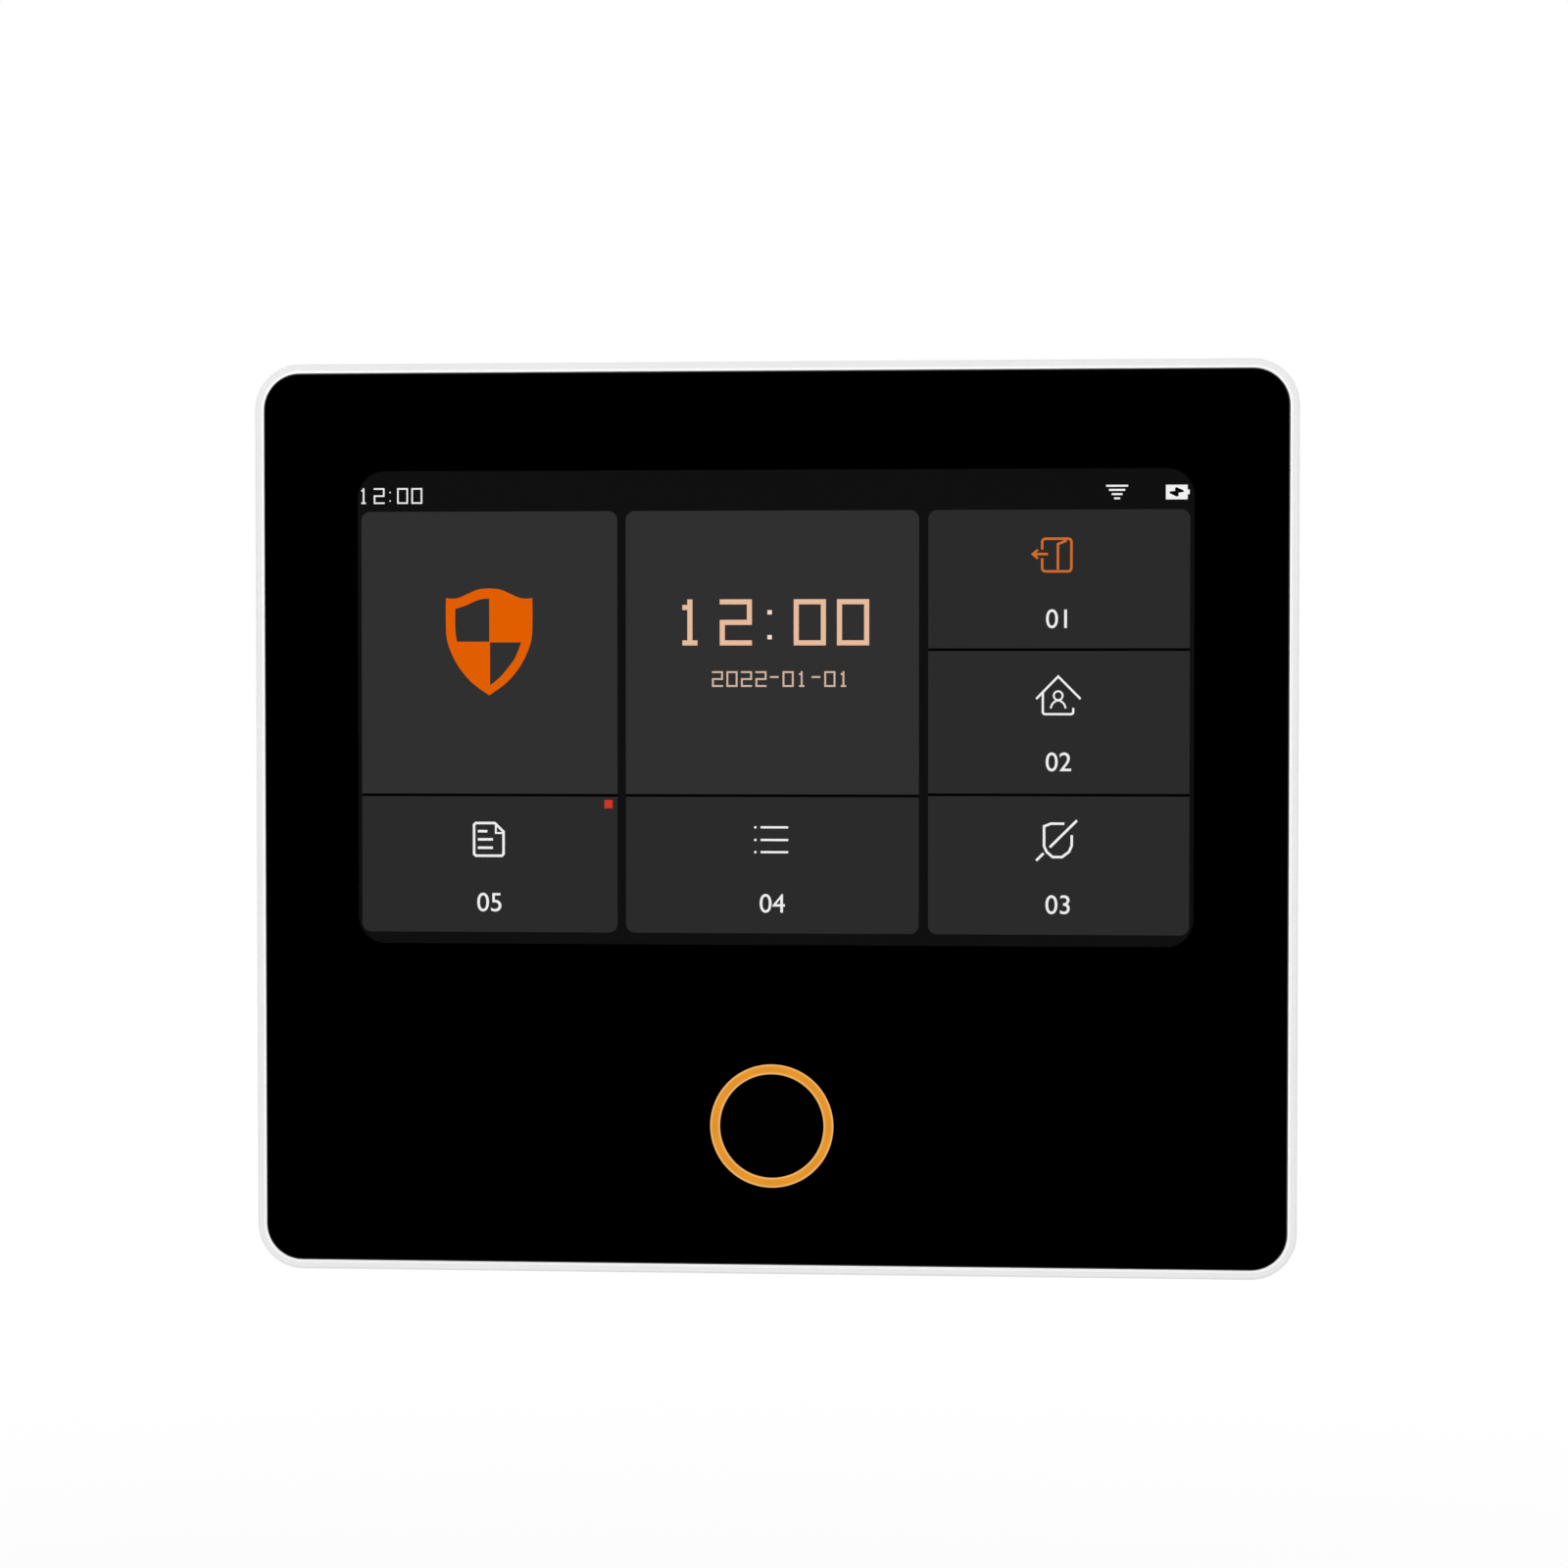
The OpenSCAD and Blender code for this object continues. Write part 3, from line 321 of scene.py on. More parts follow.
outline = rounded(label_w, label_h, label_r)
sheet = bmesh.new()
face, back = ([sheet.verts.new((x, y, label_z + z)) for x, z in outline]
              for y in (recess_y + glue_t + label_t, recess_y + glue_t))
sheet.faces.new(face)
sheet.faces.new(back[::-1])
for k in range(len(outline)):
    sheet.faces.new((face[k - 1], back[k - 1], back[k], face[k]))
label_foil, shader, start = finish("label_foil", {"Metallic": 0.6})
inside = -beyond(start, label_w / 2, label_h / 2, label_r, label_z)
printed = 1 - ramp(abs(inside - frame_inset), frame_w / 2, frame_w / 2 + 0.03 * mm)
satin = clouds(start, (0.15 * mm, 1 * mm, 3 * mm), 3.0)
start.feed(shader, {"Base Color": tint(printed, tint(satin, (0.5, 0.5, 0.51), (0.56, 0.56, 0.57)),
                                       (0.08, 0.08, 0.09)),
                    "Roughness": 0.34 + 0.12 * satin, "Normal": relief(satin, 0.003 * mm)})
placed("blank_label", as_mesh("blank_label", sheet), label_foil, "panel")


# --- Main board -----------------------------------------------------------------------------
# Glass-fibre board under green solder mask, with the copper tracks standing faintly through
# it. Four screws hold it to posts of the front housing.
def board(name, colour, track):
    """Solder mask over copper: rows of short strips, some of which, at random, stand out."""
    made, shader, start = finish(name, {"Roughness": 0.35})
    turned = start.node("VectorRotate", {"rotation_type": "X_AXIS"},
                        {"Vector": place_in(start, (1, 1, 1)), "Angle": math.pi / 2})
    lines = start.node("TexBrick", {"offset": 0.37},
                       {"Vector": turned, "Scale": 1.0, "Color1": (0, 0, 0, 1),
                        "Color2": (1, 1, 1, 1), "Mortar": (0, 0, 0, 1), "Mortar Size": 0.12 * mm,
                        "Brick Width": 7 * track, "Row Height": track}, "Color")
    copper = ramp(start.node("SeparateColor", {}, {0: lines}), 0.55, 0.6)
    start.feed(shader, {"Base Color": tint(copper, colour, scaled(colour, 1.9)),
                        "Normal": relief(copper, 0.03 * mm)})
    return made


dress(board("green_board", (0.01, 0.09, 0.03), 0.9 * mm), "main_board")
dress(board("blue_board", (0.01, 0.03, 0.12), 0.7 * mm), "wifi_board", "radio_board")
screw_metal = metal("screw_steel", (0.38, 0.38, 0.39), 0.3, (0.3 * mm, 0.3 * mm, 0.3 * mm))
dress(screw_metal, "board_screws", "cover_screws")

# --- Parts on the board ---------------------------------------------------------------------
# Chips in black epoxy, sockets in ivory nylon, the two radio modules' can and coiled antenna,
# and the supply's ferrite inductor and aluminium capacitors. All are soldered to the boards.
dress(moulded("chip_epoxy", (0.02, 0.02, 0.02), 0.6, 0.08 * mm, 0.01 * mm, 0.2), "logic_chips")
ivory_nylon = moulded("socket_nylon", (0.75, 0.7, 0.58), 0.5, 0.2 * mm, 0.01 * mm)
dress(ivory_nylon, "display_connector", "touch_connector", "battery_socket")
dress(metal("tinned_can", (0.65, 0.65, 0.64), 0.3, (3 * mm, 0.2 * mm, 0.2 * mm)), "wifi_shield")
dress(metal("antenna_wire", (0.7, 0.5, 0.2), 0.28, (0.2 * mm,) * 3), "radio_antenna")
dress(moulded("ferrite", (0.08, 0.08, 0.09), 0.75, 0.12 * mm, 0.02 * mm, 0.1), "power_inductor")
dress(metal("drawn_aluminium", (0.75, 0.76, 0.78), 0.25, (2 * mm, 2 * mm, 0.1 * mm)),
      "capacitors")

# --- Battery --------------------------------------------------------------------------------
# A flat pouch cell in a soft, creased laminate of aluminium foil. Black foam tape holds it to
# the rear cover, and its two leads in red sleeves end in an ivory plug.
pouch, shader, start = finish("pouch_foil", {"Metallic": 1.0})
crease_and_shade = clouds(start, (5 * mm, 5 * mm, 9 * mm), 4.0)
# The foil's colour follows its creases, darker in their hollows and lighter on their ridges:
# painted shade.
start.feed(shader, {"Base Color": tint(crease_and_shade, (0.46, 0.48, 0.5), (0.58, 0.6, 0.63)),
                    "Roughness": 0.3 + 0.2 * crease_and_shade, "Normal": relief(crease_and_shade, 0.15 * mm)})
dress(pouch, "battery")
foam = moulded("foam_tape", (0.03, 0.03, 0.03), 0.9, 0.15 * mm, 0.05 * mm, 0.2)
dress(foam, "battery_tape")
sleeve = moulded("lead_sleeve", (0.45, 0.03, 0.02), 0.4, 0.4 * mm, 0.005 * mm)
dress(sleeve, "battery_leads")
dress(ivory_nylon, "battery_plug")

# --- Siren speaker --------------------------------------------------------------------------
# A painted steel basket, a treated paper cone that faces the slots in the rear cover, and a
# nickel-plated magnet behind it. Its two leads have the battery's red sleeves.
dress(moulded("basket_paint", (0.12, 0.12, 0.12), 0.45, 0.3 * mm, 0.01 * mm, 0.1),
      "speaker_frame")
cone, shader, start = finish("cone_paper", {})
fibres = clouds(start, (0.5 * mm, 0.5 * mm, 0.5 * mm), 5.0)
start.feed(shader, {"Base Color": tint(fibres, (0.022, 0.022, 0.022), (0.045, 0.044, 0.042)),
                    "Roughness": 0.8 + 0.15 * fibres, "Normal": relief(fibres, 0.04 * mm)})
dress(cone, "speaker_cone")
dress(metal("magnet_nickel", (0.6, 0.6, 0.58), 0.22, (1 * mm,) * 3), "speaker_magnet")
dress(sleeve, "speaker_leads")

# --- Power inlet, power switch and tamper pin -----------------------------------------------
# The inlet is a drawn nickel-plated shell round a black tongue. The switch has a steel frame
# and a black nylon knob. The acetal tamper pin leaves the back when the panel is taken off.
dress(metal("plated_shell", (0.6, 0.6, 0.6), 0.25, (0.3 * mm, 3 * mm, 0.3 * mm)),
      "inlet_shell", "power_switch_body")
black_nylon = moulded("black_nylon", (0.02, 0.02, 0.02), 0.5, 0.1 * mm, 0.01 * mm, 0.2)
dress(black_nylon, "inlet_tongue", "power_switch_knob")
dress(moulded("acetal", (0.8, 0.8, 0.78), 0.35, 0.3 * mm, 0.004 * mm, 0.02), "tamper_pin")
dress(metal("spring_wire", (0.55, 0.55, 0.55), 0.3, (0.15 * mm,) * 3), "tamper_spring")
dress(metal("gold_plate", (0.8, 0.6, 0.25), 0.25, (0.5 * mm,) * 3), "tamper_contact")

# --- Display module -------------------------------------------------------------------------
# A white backlight frame, held off the board by strips of black foam, the liquid crystal cell
# on it, and two amber ribbons that bend round to the board.
dress(moulded("backlight_frame", (0.8, 0.8, 0.8), 0.5, 0.3 * mm, 0.008 * mm, 0.02),
      "display_backlight")
dress(foam, "display_foam")
ribbon, shader, start = finish("ribbon_film", {"Roughness": 0.3})
strands = start.node("SeparateXYZ", {}, {0: place_in(start, (0.5 * mm,) * 3)}, "X")
strands = ramp(abs(start.sum("FRACT", strands) - 0.5), 0.2, 0.3)
start.feed(shader, {"Base Color": tint(strands, (0.42, 0.17, 0.03), (0.6, 0.31, 0.08)),
                    "Normal": relief(strands, 0.02 * mm)})
dress(ribbon, "touch_flex", "display_flex")
cell, shader, start = finish("cell_glass", {"Roughness": 0.15})
start.feed(shader, {"Base Color": tint(clouds(start, (9 * mm,) * 3), (0.004, 0.004, 0.005),
                                       (0.007, 0.007, 0.009))})
dress(cell, "display_cell")

# --- Picture on the display -----------------------------------------------------------------
# What the lit cell shows: dark grey tiles with their signs. Each part of the picture is a thin
# plate that lights in its own colour, and the plates lie on each other from the cell forward.
# Its sizes are in millimetres, and it glows a little over 1 for what the glass takes away.
lit_w, lit_h = 95.04, 53.86
border_top = 10.99
lit_top = glass_high.z / mm - border_top
dot = 0.198
layer = 0.03 * mm
screen_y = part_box("display_cell")[0].y
glow = 1.085
spread, aside = 1.005, -0.1


def srgb(*parts):
    """A screen colour, given from 0 to 255, as light."""
    return tuple(((p / 255 + 0.055) / 1.055) ** 2.4 if p > 10 else p / 255 / 12.92
                 for p in parts)


def lit(name, colour):
    """Light of one colour, with the dim gaps between the display's dots and a slow cloud."""
    made, shader, start = finish(name, {"Base Color": (0, 0, 0, 1), "Roughness": 0.6,
                                        "Specular IOR Level": 0.0, "Emission Strength": glow})
    cells = place_in(start, (dot * mm,) * 3)
    across, up = (abs(start.sum("FRACT", start.node("SeparateXYZ", {}, {0: cells}, axis)) - 0.5)
                  for axis in "XZ")
    between = ramp(start.sum("MAXIMUM", across, up), 0.4, 0.46)
    slow = clouds(start, (30 * mm,) * 3)
    body = tint(slow, scaled(colour, 0.985), scaled(colour, 1.015))
    start.feed(shader, {"Emission Color": tint(0.12 * between, body, (0, 0, 0))})
    return made


def on_screen(x, z, step):
    """A place on the display. The drawing is spread a little, for the glass that lies over it."""
    return ((x * spread + aside) * mm, screen_y - step * layer,
            (lit_top + (z - lit_top) * spread) * mm)


def plate(name, outlines, step, made):
    """A thin plate with these outlines, in millimetres across and up from the panel's centre."""
    sheet = bmesh.new()
    for outline in outlines:
        sheet.faces.new([sheet.verts.new(on_screen(x, z, step)) for x, z in outline])
    bmesh.ops.remove_doubles(sheet, verts=sheet.verts, dist=0.002 * mm)
    rims = [edge.verts[:] for edge in sheet.edges if edge.is_boundary]
    front = {v: sheet.verts.new(v.co - Vector((0, layer, 0))) for v in sheet.verts[:]}
    for face in sheet.faces[:]:
        sheet.faces.new([front[v] for v in face.verts])
    for one, two in rims:
        sheet.faces.new((one, two, front[two], front[one]))
    placed(name, as_mesh(name, sheet), made, "panel")


def box_outline(left, low, right, high):
    return [(left, low), (right, low), (right, high), (left, high)]


def arc(x, z, r, start, end, steps=8):
    """Points of a circle's arc, in degrees counted anticlockwise from the right."""
    return [(x + r * math.cos(math.radians(start + (end - start) * k / steps)),
             z + r * math.sin(math.radians(start + (end - start) * k / steps)))
            for k in range(steps + 1)]


def tile_outline(left, low, right, high, low_r, high_r):
    """A tile with its own radius at the two lower and the two upper corners, 0 for square."""
    lower, upper = max(low_r, 0.01), max(high_r, 0.01)
    return (arc(left + lower, low + lower, lower, 180, 270)
            + arc(right - lower, low + lower, lower, 270, 360)
            + arc(right - upper, high - upper, upper, 0, 90)
            + arc(left + upper, high - upper, upper, 90, 180))


def down(depth):
    """Height of a place that lies this far below the lit area's upper edge."""
    return lit_top - depth


under_film = 0.3
plate("lit_ground", [box_outline(-lit_w / 2 - under_film, down(lit_h + under_film),
                                 lit_w / 2 + under_film, down(-under_film))],
      0, lit("ground_light", srgb(17, 17, 17)))

tiles_top, tiles_low = 4.63, 52.41
side_column, side_w, middle_w = 32.27, 29.3, 33.22
left_split, right_splits, split = 36.82, (20.33, 36.67), 0.32
corner = 1.0
columns = ((-side_column, side_w), (-0.04, middle_w), (side_column, side_w))
dim, dimmer = lit("tile_light", srgb(49, 49, 49)), lit("key_light", srgb(44, 44, 44))
plate("main_tiles", [tile_outline(x - w / 2, down(left_split - split / 2), x + w / 2,
                                  down(tiles_top), 0, corner) for x, w in columns[:2]], 1, dim)
splits = [(*column, left_split) for column in columns[:2]]
splits += [(*columns[2], depth) for depth in right_splits]
half_split = split / 2 - 0.01
plate("tile_gaps", [box_outline(x - w / 2, down(depth + half_split), x + w / 2,
                                down(depth - half_split)) for x, w, depth in splits],
      1, lit("gap_light", srgb(3, 3, 3)))
rows = [tiles_top - split / 2, *right_splits, tiles_low + split / 2]
keys = [(*column, left_split, tiles_low + split / 2, corner, 0) for column in columns[:2]]
keys += [(*columns[2], high, low, corner * (low > tiles_low), corner * (high < tiles_top))
         for high, low in zip(rows, rows[1:])]
plate("key_tiles", [tile_outline(x - w / 2, down(low - split / 2), x + w / 2,
                                 down(high + split / 2), low_r, high_r)
                    for x, w, high, low, low_r, high_r in keys], 1, dimmer)
notice_right = -side_column + side_w / 2 - 0.57
plate("notice_mark", [box_outline(notice_right - 0.91, down(38.3), notice_right, down(37.34))],
      2, lit("notice_light", srgb(210, 56, 40)))


def smooth(points, steps=5):
    """An even curve through these points."""
    ends = [points[0], *points, points[-1]]
    return [tuple(q + (r - p) * t / 2 + (2 * p - 5 * q + 4 * r - s) * t ** 2 / 2
                  + (3 * q - p - 3 * r + s) * t ** 3 / 2 for p, q, r, s in zip(*four))
            for four in zip(ends, ends[1:], ends[2:], ends[3:])
            for t in (k / steps for k in range(steps))] + [points[-1]]


def moved(outline, x, z):
    return [(x + across, z + up) for across, up in outline]


# Quartered shield, the sign for the state of the alarm
shield_at = (-side_column, down(19.41))
orange = lit("shield_light", srgb(229, 96, 1))
crown = smooth([(0, 6.07), (1.24, 5.94), (2.33, 5.5), (3.42, 5.02), (4.15, 4.9), (4.94, 4.96)])
flank = smooth([(4.94, 4.96), (4.96, 2.4), (4.78, 0), (3.7, -2.52), (2.02, -4.6), (0, -6.07)])
half = crown + flank[1:]
plate("shield_sign", [moved(half + [(-x, z) for x, z in reversed(half[1:-1])], *shield_at)], 2,
      orange)
upper_left = (smooth([(0.02, 4.9), (-0.64, 4.88), (-1.5, 4.66), (-2.75, 4.1), (-3.88, 3.76)])
              + smooth([(-3.88, 3.76), (-3.87, 1.3), (-3.68, 0.02)])[1:] + [(0.02, 0.02)])
lower_right = [(0.1, -0.06)] + smooth([(3.68, -0.06), (2.95, -1.83), (2.03, -3.1),
                                       (1.1, -4.14), (0.1, -4.93)])
plate("shield_quarters", [moved(upper_left, *shield_at), moved(lower_right, *shield_at)], 3, dim)


def bars(boxes):
    """Outlines of upright boxes (left, low, right, high), cut where they meet so that none
    overlap."""
    cuts_x = sorted({edge for box in boxes for edge in (box[0], box[2])})
    cuts_z = sorted({edge for box in boxes for edge in (box[1], box[3])})
    return [box_outline(left, low, right, high)
            for left, right in zip(cuts_x, cuts_x[1:]) for low, high in zip(cuts_z, cuts_z[1:])
            if any(box[0] < (left + right) / 2 < box[2] and box[1] < (low + high) / 2 < box[3]
                   for box in boxes)]


def numerals(text, left, top, height, width, stroke, pitch, colon=0.717):
    """Square-cut numerals for a clock, as outlines of bars."""
    outlines = []
    low, middle = top - height, top - height / 2
    for figure in text:
        right = left + width
        if figure == "0":
            boxes = [(left, low, left + stroke, top), (right - stroke, low, right, top),
                     (left, low, right, low + stroke), (left, top - stroke, right, top)]
        elif figure == "2":
            boxes = [(left, top - stroke, right, top), (left, low, right, low + stroke),
                     (left, middle - stroke / 2, right, middle + stroke / 2),
                     (right - stroke, middle, right, top), (left, low, left + stroke, middle)]
        elif figure == "1":
            stem = left + 0.13 * pitch + stroke
            boxes = [(stem, low, stem + stroke, top),
                     (stem - stroke, low, stem + 2 * stroke, low + stroke),
                     (stem - stroke, top - 2.1 * stroke, stem, top - 1.1 * stroke)]
        elif figure == ":":
            mark, point = left + 0.1 * pitch, 0.86 * stroke
            boxes = [(mark, top - share * height - point, mark + point, top - share * height)
                     for share in (0.235, 0.775)]
        else:
            boxes = [(left, top - 0.37 * height - stroke / 2, left + 0.78 * width,
                      top - 0.37 * height + stroke / 2)]
        outlines += bars(boxes)
        left += pitch * {":": colon, "-": 0.87}.get(figure, 1)
    return outlines


peach, cream = lit("clock_light", srgb(236, 190, 160)), lit("colon_light", srgb(245, 226, 206))
clock = dict(left=-10.84, top=down(14.63), height=5.2, width=3.64, stroke=0.57, pitch=4.89)
plate("clock_numerals", numerals("12", **clock)
      + numerals("00", **{**clock, "left": 2.43}), 2, peach)
plate("clock_colon", numerals(":", **{**clock, "left": -1.03}), 2, cream)
plate("date_numerals", numerals("2022-01-01", left=-6.84, top=down(22.75), height=1.77,
                                width=1.25, stroke=0.2, pitch=1.645), 2,
      lit("date_light", srgb(214, 184, 164)))
pale = lit("sign_light", srgb(245, 245, 245))
plate("status_clock", numerals("12:00", left=-47.12, top=down(1.94), height=1.78, width=1.24,
                               stroke=0.17, pitch=1.64, colon=0.64), 2, pale)


def line_pieces(points, width, closed=False):
    """Outlines of the pieces of a line of even width, with mitred corners."""
    count = len(points)
    edges = []
    for i, here in enumerate(points):
        before = points[i - 1] if i or closed else here
        after = points[(i + 1) % count] if i < count - 1 or closed else here
        ways = [Vector((b[0] - a[0], b[1] - a[1])).normalized()
                for a, b in ((before, here), (here, after)) if a != b]
        across = sum(((Vector((-w.y, w.x)) for w in ways)), Vector((0, 0))).normalized()
        reach = width / 2 / max(across.dot(Vector((-ways[0].y, ways[0].x))), 0.3)
        edges.append(((here[0] + across.x * reach, here[1] + across.y * reach),
                      (here[0] - across.x * reach, here[1] - across.y * reach)))
    pairs = list(zip(edges, edges[1:] + edges[:1]))
    return [[a[0], b[0], b[1], a[1]] for a, b in (pairs if closed else pairs[:-1])]


def sign(name, x, depth, lines, width, made, filled=()):
    """A sign of lines (points, whether closed, width if it has its own) and filled outlines,
    drawn round a centre at x, depth below the lit area's edge."""
    outlines = [piece for line, closed, *own in lines
                for piece in line_pieces(moved(line, x, down(depth)), *(own or [width]), closed)]
    outlines += [moved(outline, x, down(depth)) for outline in filled]
    plate(name, outlines, 2, made)


fine, fainter, finer = 0.275, 0.24, 0.2
# Wireless bars and the charging battery
bars_x, half_bar = 38.76, 0.105
plate("network_bars", [box_outline(bars_x - w / 2, down(d + half_bar), bars_x + w / 2,
                                   down(d - half_bar))
                       for w, d in ((2.46, 1.99), (1.82, 2.45), (1.2, 2.92), (0.66, 3.39))],
      2, pale)
plate("battery_sign", [box_outline(44.2, down(3.53), 46.62, down(1.9)),
                       box_outline(46.62, down(2.96), 46.84, down(2.44))], 2, pale)
bolt = [(-0.8, -0.13), (0.0, -0.52), (0.22, -0.42), (0.2, -0.1), (0.8, 0.02), (0.76, 0.2),
        (-0.02, 0.54), (-0.2, 0.42), (-0.18, 0.12), (-0.78, 0.06)]
plate("battery_bolt", [moved(bolt, 45.4, down(2.71))], 3, lit("bolt_light", srgb(8, 8, 8)))

# Open door with an arrow
door = (arc(-1.46, 1.47, 0.36, 180, 90, 4) + arc(1.09, 1.47, 0.36, 90, 0, 4)
        + arc(1.09, -1.47, 0.36, 0, -90, 4) + arc(-1.46, -1.47, 0.36, 270, 180, 4))
arrow = [(-3.08, 0.11), (-2.38, 0.7), (-2.22, 0.51), (-2.5, 0.25), (-1.17, 0.25), (-1.17, -0.03),
         (-2.5, -0.03), (-2.22, -0.29), (-2.38, -0.48)]
sign("door_sign", side_column - 0.05, 9.72, [
    ([(-1.82, 0.62)] + door + [(-1.82, -0.35)], False),
    ([(0.9, 1.64), (-0.06, 1.22), (-0.06, -1.64)], False),
    ], fine, lit("door_light", srgb(210, 110, 48)), [arrow])
# House with a figure
sign("house_sign", side_column - 0.05, 25.46, [
    ([(-2.46, -0.4), (0, 2.12), (2.5, -0.4)], False),
    ([(-1.72, 0.36)] + arc(-1.47, -1.87, 0.25, 180, 270, 3) + arc(1.44, -1.87, 0.25, 270, 360, 3)
     + [(1.69, -1.42)], False),
    (arc(0, -0.04, 0.5, 0, 360, 16)[:-1], True, finer),
    (smooth([(-0.84, -1.46), (-0.6, -0.9), (0, -0.56), (0.6, -0.9), (0.85, -1.46)], 3), False,
     finer)], fainter, pale)
# Crossed-out shield
sign("crossed_sign", side_column - 0.08, 41.73, [
    ([(1.58, 0.55), (1.58, -0.65), (1.28, -1.32), (0.5, -1.92), (-0.55, -1.92), (-1.22, -1.35),
      (-1.52, -0.7), (-1.52, 1.54), (-0.76, 1.84), (0.75, 1.84)], False),
    ([(2.16, 2.2), (-0.88, -0.82)], False), ([(-1.58, -1.5), (-2.4, -2.32)], False),
    ], fine, pale)
# Page with a folded corner
sign("page_sign", -side_column - 0.02, 41.87, [
    ([(-1.76, -1.66), (-1.56, -1.86), (1.42, -1.86), (1.62, -1.66), (1.62, 0.88), (0.62, 1.86),
      (-1.56, 1.86), (-1.76, 1.66)], True),
    ([(0.74, 1.68), (0.74, 0.73), (1.5, 0.73)], False, finer),
    ], fine, pale, [box_outline(-1.32, mid - 0.14, right, mid + 0.14)
                    for mid, right in ((0.93, -0.24), (0, 0.4), (-0.95, 0.4))])
# List
half_line = 0.12
plate("list_sign", [box_outline(left, down(depth + half_line), right, down(depth - half_line))
                    for depth in (40.4, 41.83, 43.21)
                    for left, right in ((-2.05, -1.8), (-1.32, 1.8))], 2, pale)

# Plain numbers under the signs
number_size = 3.05 * mm
for text, x, depth in (("01", side_column, 17.9), ("02", side_column, 33.98),
                       ("03", side_column, 50.05), ("04", 0, 50.05), ("05", -side_column, 50.05)):
    figures = bpy.data.curves.new("number_" + text, "FONT")
    figures.body, figures.align_x, figures.size = text, "CENTER", number_size
    figures.extrude = layer / 2
    number = placed("number_" + text, figures, pale, "panel")
    number.location = on_screen(x, down(depth), 2.5)
    number.rotation_euler = (math.pi / 2, 0, 0)

# --- Cover glass, film and touch sensor -----------------------------------------------------
# Toughened glass, clear over the display and inked black round that window and on its edges,
# over a black printed film. The touch sensor is bonded to the film, so it hardly mirrors. Black
# foam tape holds them to the deck of the front housing.
glass_r, window_r, ink_gap = 4.1 * mm, 3.1 * mm, 1.4 * mm
clear, shader, start = finish("cover_glass_clear", {"Transmission Weight": 1.0, "IOR": 1.5,
                                                    "Roughness": 0.0})
from_window = beyond(start, lit_w / 2 * mm + ink_gap, lit_h / 2 * mm + ink_gap,
                     window_r + ink_gap, down(lit_h / 2) * mm)
ink = ramp(from_window, 0, 0.01 * mm)
sheer = tint(clouds(start, (20 * mm,) * 3), (0.98, 0.99, 0.985), (1.0, 1.0, 1.0))
start.feed(shader, {"Base Color": tint(ink, sheer, (0.0, 0.0, 0.0))})
dress(clear, "cover_glass")
bonded, shader, start = finish("sensor_glass_clear", {"Transmission Weight": 1.0, "IOR": 1.02,
                                                      "Roughness": 0.0})
start.feed(shader, {"Base Color": tint(clouds(start, (20 * mm,) * 3), (0.99, 0.995, 0.99),
                                       (1.0, 1.0, 1.0))})
dress(bonded, "touch_sensor")
film, shader, start = finish("printed_film", {"Specular IOR Level": 0.0})
speckle = clouds(start, (0.2 * mm,) * 3, 3.0)
start.feed(shader, {"Base Color": tint(speckle, (0.002, 0.002, 0.002), (0.004, 0.004, 0.004)),
                    "Roughness": 0.5 + 0.2 * speckle})
dress(film, "mask_film")
dress(foam, "glass_tape")

# --- Ring key -------------------------------------------------------------------------------
# A frosted light guide stands flush with the glass, lit orange by eight LEDs behind it. The
# polished black cap inside it is pressed, and works a small switch on the board.
ring_low, ring_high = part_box("ring_light_guide")
ring_z = (ring_low.z + ring_high.z) / 2
amber, led_count = srgb(220, 143, 26), 8
guide, shader, start = finish("lit_guide", {"Base Color": (0.06, 0.02, 0.004, 1),
                                            "Specular IOR Level": 0.2,
                                            "Emission Strength": 1.0})
point = start.node("TexCoord", output="Object")
east, deep, north = (start.node("SeparateXYZ", {}, {0: point}, axis) for axis in "XYZ")
up = north - ring_z
spots = 0.5 + 0.5 * start.sum("COSINE", led_count * start.sum("ARCTAN2", up, east) + math.pi)
flange, ring_w = 2.0 * mm, 1.1 * mm
off_middle = abs(start.sum("SQRT", east * east + up * up) - (ring_high.x - flange - ring_w / 2))
edge_glow = ramp(off_middle, 0.25 * mm, 0.5 * mm)
at_face = ramp(deep, ring_low.y + 0.08 * mm, ring_low.y + 0.03 * mm)
frost = clouds(start, (0.3 * mm,) * 3, 3.0)
warm = tint(spots, scaled(amber, 0.96), scaled(amber, 1.03))
start.feed(shader, {
    "Emission Color": tint(at_face, (0.0, 0.0, 0.0), tint(edge_glow, warm, srgb(233, 178, 104))),
    "Roughness": 0.45 + 0.15 * frost, "Normal": relief(frost, 0.01 * mm)})
dress(guide, "ring_light_guide")
dress(moulded("led_mould", (0.9, 0.85, 0.6), 0.35, 0.2 * mm, 0.004 * mm, 0.02), "ring_leds")
cap, shader, start = finish("key_black", {"IOR": 1.5})
haze = clouds(start, (5 * mm,) * 3, 3.0)
start.feed(shader, {"Base Color": tint(haze, (0.0002, 0.0002, 0.0002), (0.0004, 0.0004, 0.0004)),
                    "Roughness": 0.03 + 0.03 * haze})
dress(cap, "ring_key")
dress(black_nylon, "key_switch_body", "key_switch_plunger")
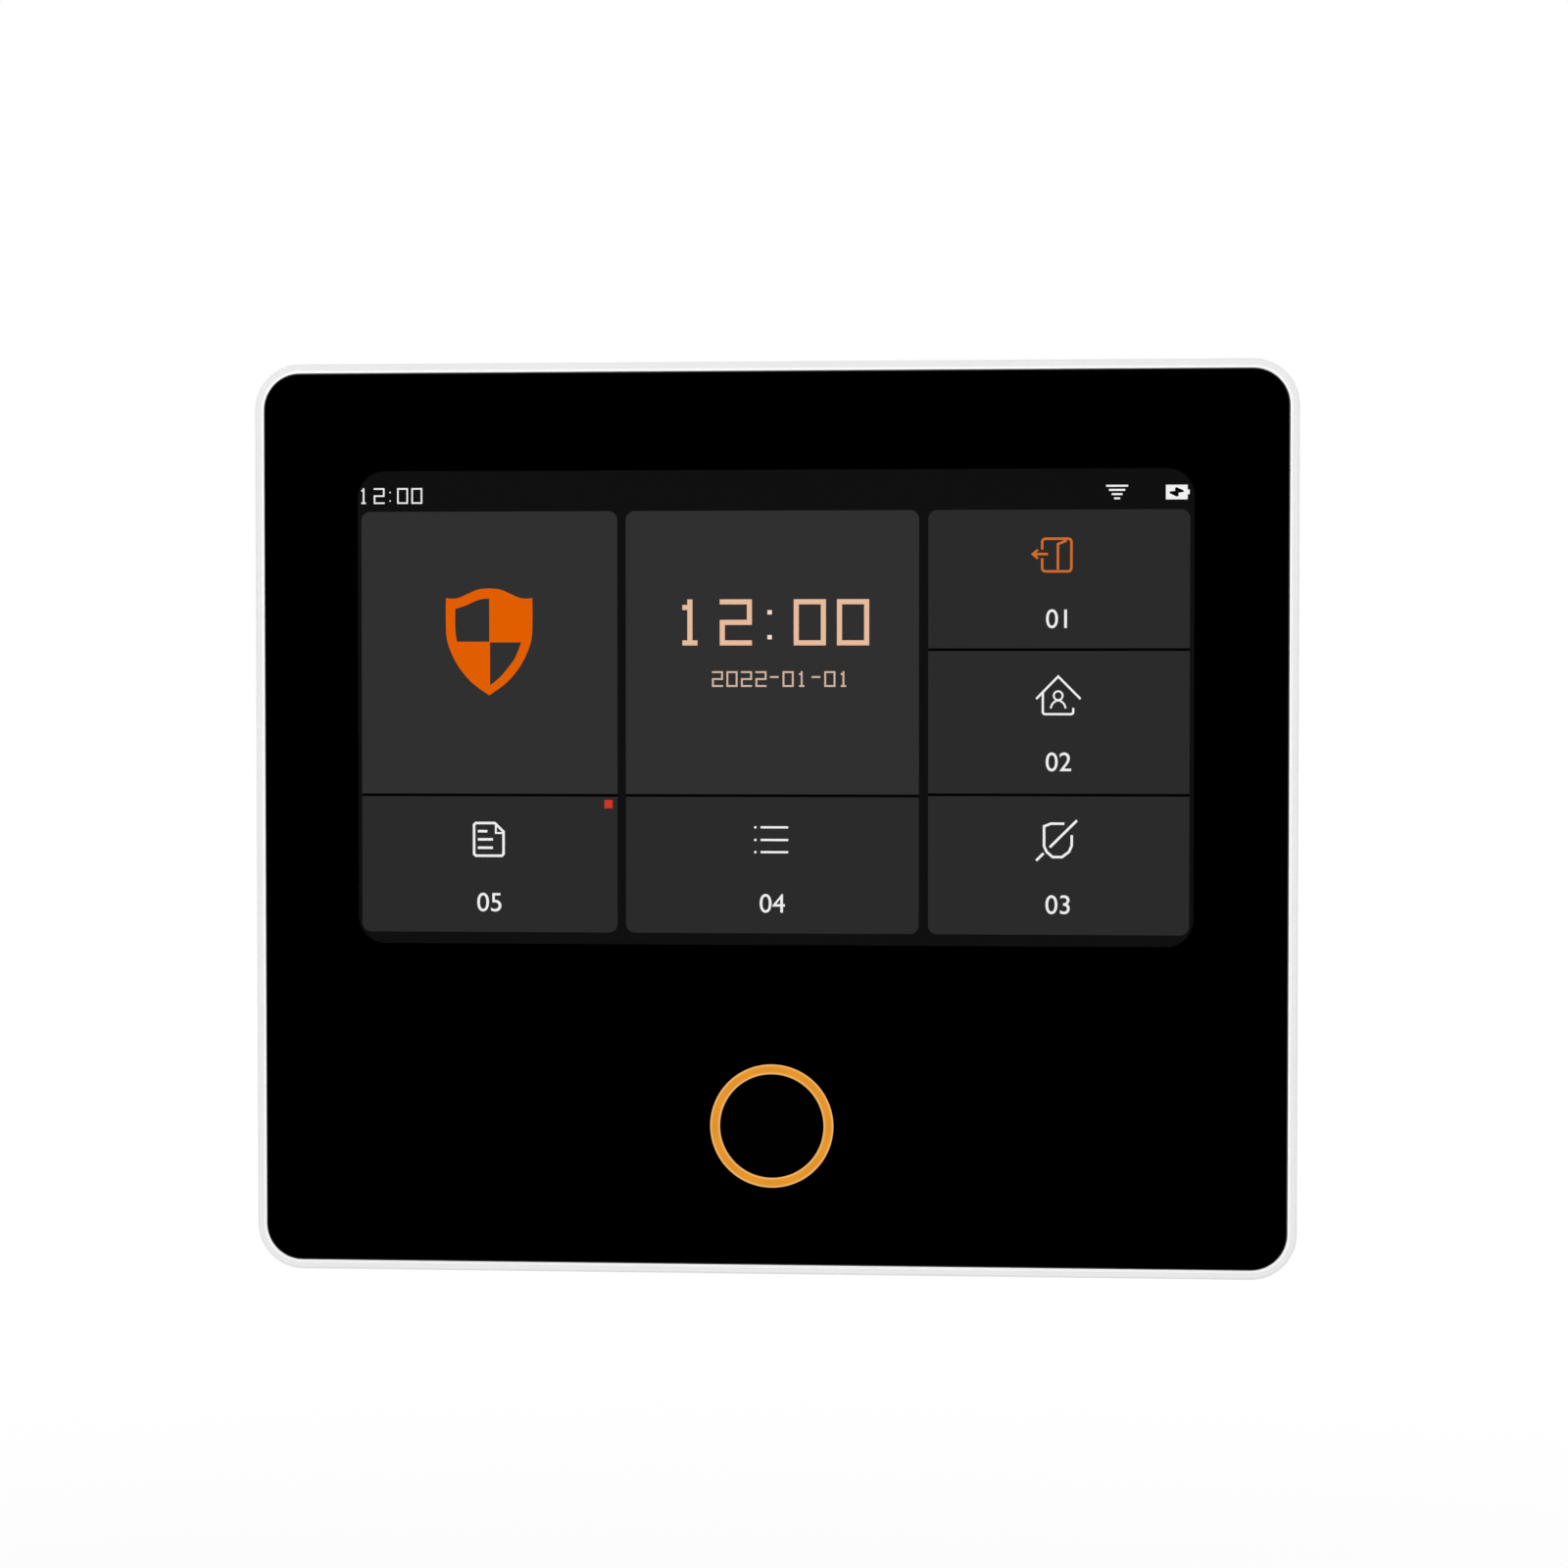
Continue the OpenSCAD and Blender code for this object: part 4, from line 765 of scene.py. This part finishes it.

# --- Front housing --------------------------------------------------------------------------
# Satin light grey moulding. Its rim frames the glass with a small bevel, painted white as a
# highlight in its colour, and its walls carry the same fine skin as the rear cover.
glass_gap, rim_bevel = 0.1 * mm, 0.2 * mm
rim_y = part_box("front_housing")[0].y
rim, shader, start = finish("rim_moulding", {"Specular IOR Level": 0.3})
from_gap = beyond(start, glass_high.x + glass_gap, glass_high.z + glass_gap, glass_r + glass_gap)
front = ramp(start.node("SeparateXYZ", {}, {0: start.node("TexCoord", output="Object")}, "Y"),
             rim_y + 0.5 * mm, rim_y + 0.3 * mm)
# The narrow bevel next to the glass gets a white base colour: a painted highlight.
painted_bevel_highlight = (1 - ramp(from_gap, rim_bevel + 0.01 * mm, rim_bevel + 0.09 * mm)) * front
skin = clouds(start, (0.25 * mm,) * 3, 3.0)
flow = clouds(start, (14 * mm, 14 * mm, 22 * mm))
body = tint(flow, (0.795, 0.795, 0.8), (0.825, 0.825, 0.83))
start.feed(shader, {"Base Color": tint(painted_bevel_highlight, body, (1, 1, 1)),
                    "Roughness": 0.4 + 0.1 * skin, "Normal": relief(skin, 0.008 * mm)})
dress(rim, "front_housing")

# --- Sealing bead ---------------------------------------------------------------------------
# White silicone, run into the groove between the glass and the rim once the glass is taped
# down, and wiped level with the rim. It keeps splashes out and shows as a fine bright line.
# Its profile is given in millimetres out from the glass's edge and back from its face.
bead_profile = [(0.05, 0.85), (0.05, 0.15), (0.08, 0.165), (0.12, 0.19), (0.2, 0.2), (0.29, 0.2),
                (0.285, 0.21), (0.09, 0.41), (0.09, 0.85)]
bead = bmesh.new()
rings = [[bead.verts.new((x, glass_low.y + depth * mm, z))
          for x, z in rounded(2 * (glass_high.x + out * mm), 2 * (glass_high.z + out * mm),
                              glass_r + out * mm, 16)] for out, depth in bead_profile]
for ring, following in zip(rings, rings[1:] + rings[:1]):
    for k in range(len(ring)):
        bead.faces.new((ring[k - 1], ring[k], following[k], following[k - 1]))
for face in bead.faces:
    face.smooth = True
silicone = moulded("white_silicone", (0.99, 0.99, 0.99), 0.5, 0.2 * mm, 0.002 * mm, 0.01)
placed("sealing_bead", as_mesh("sealing_bead", bead), silicone, "panel")
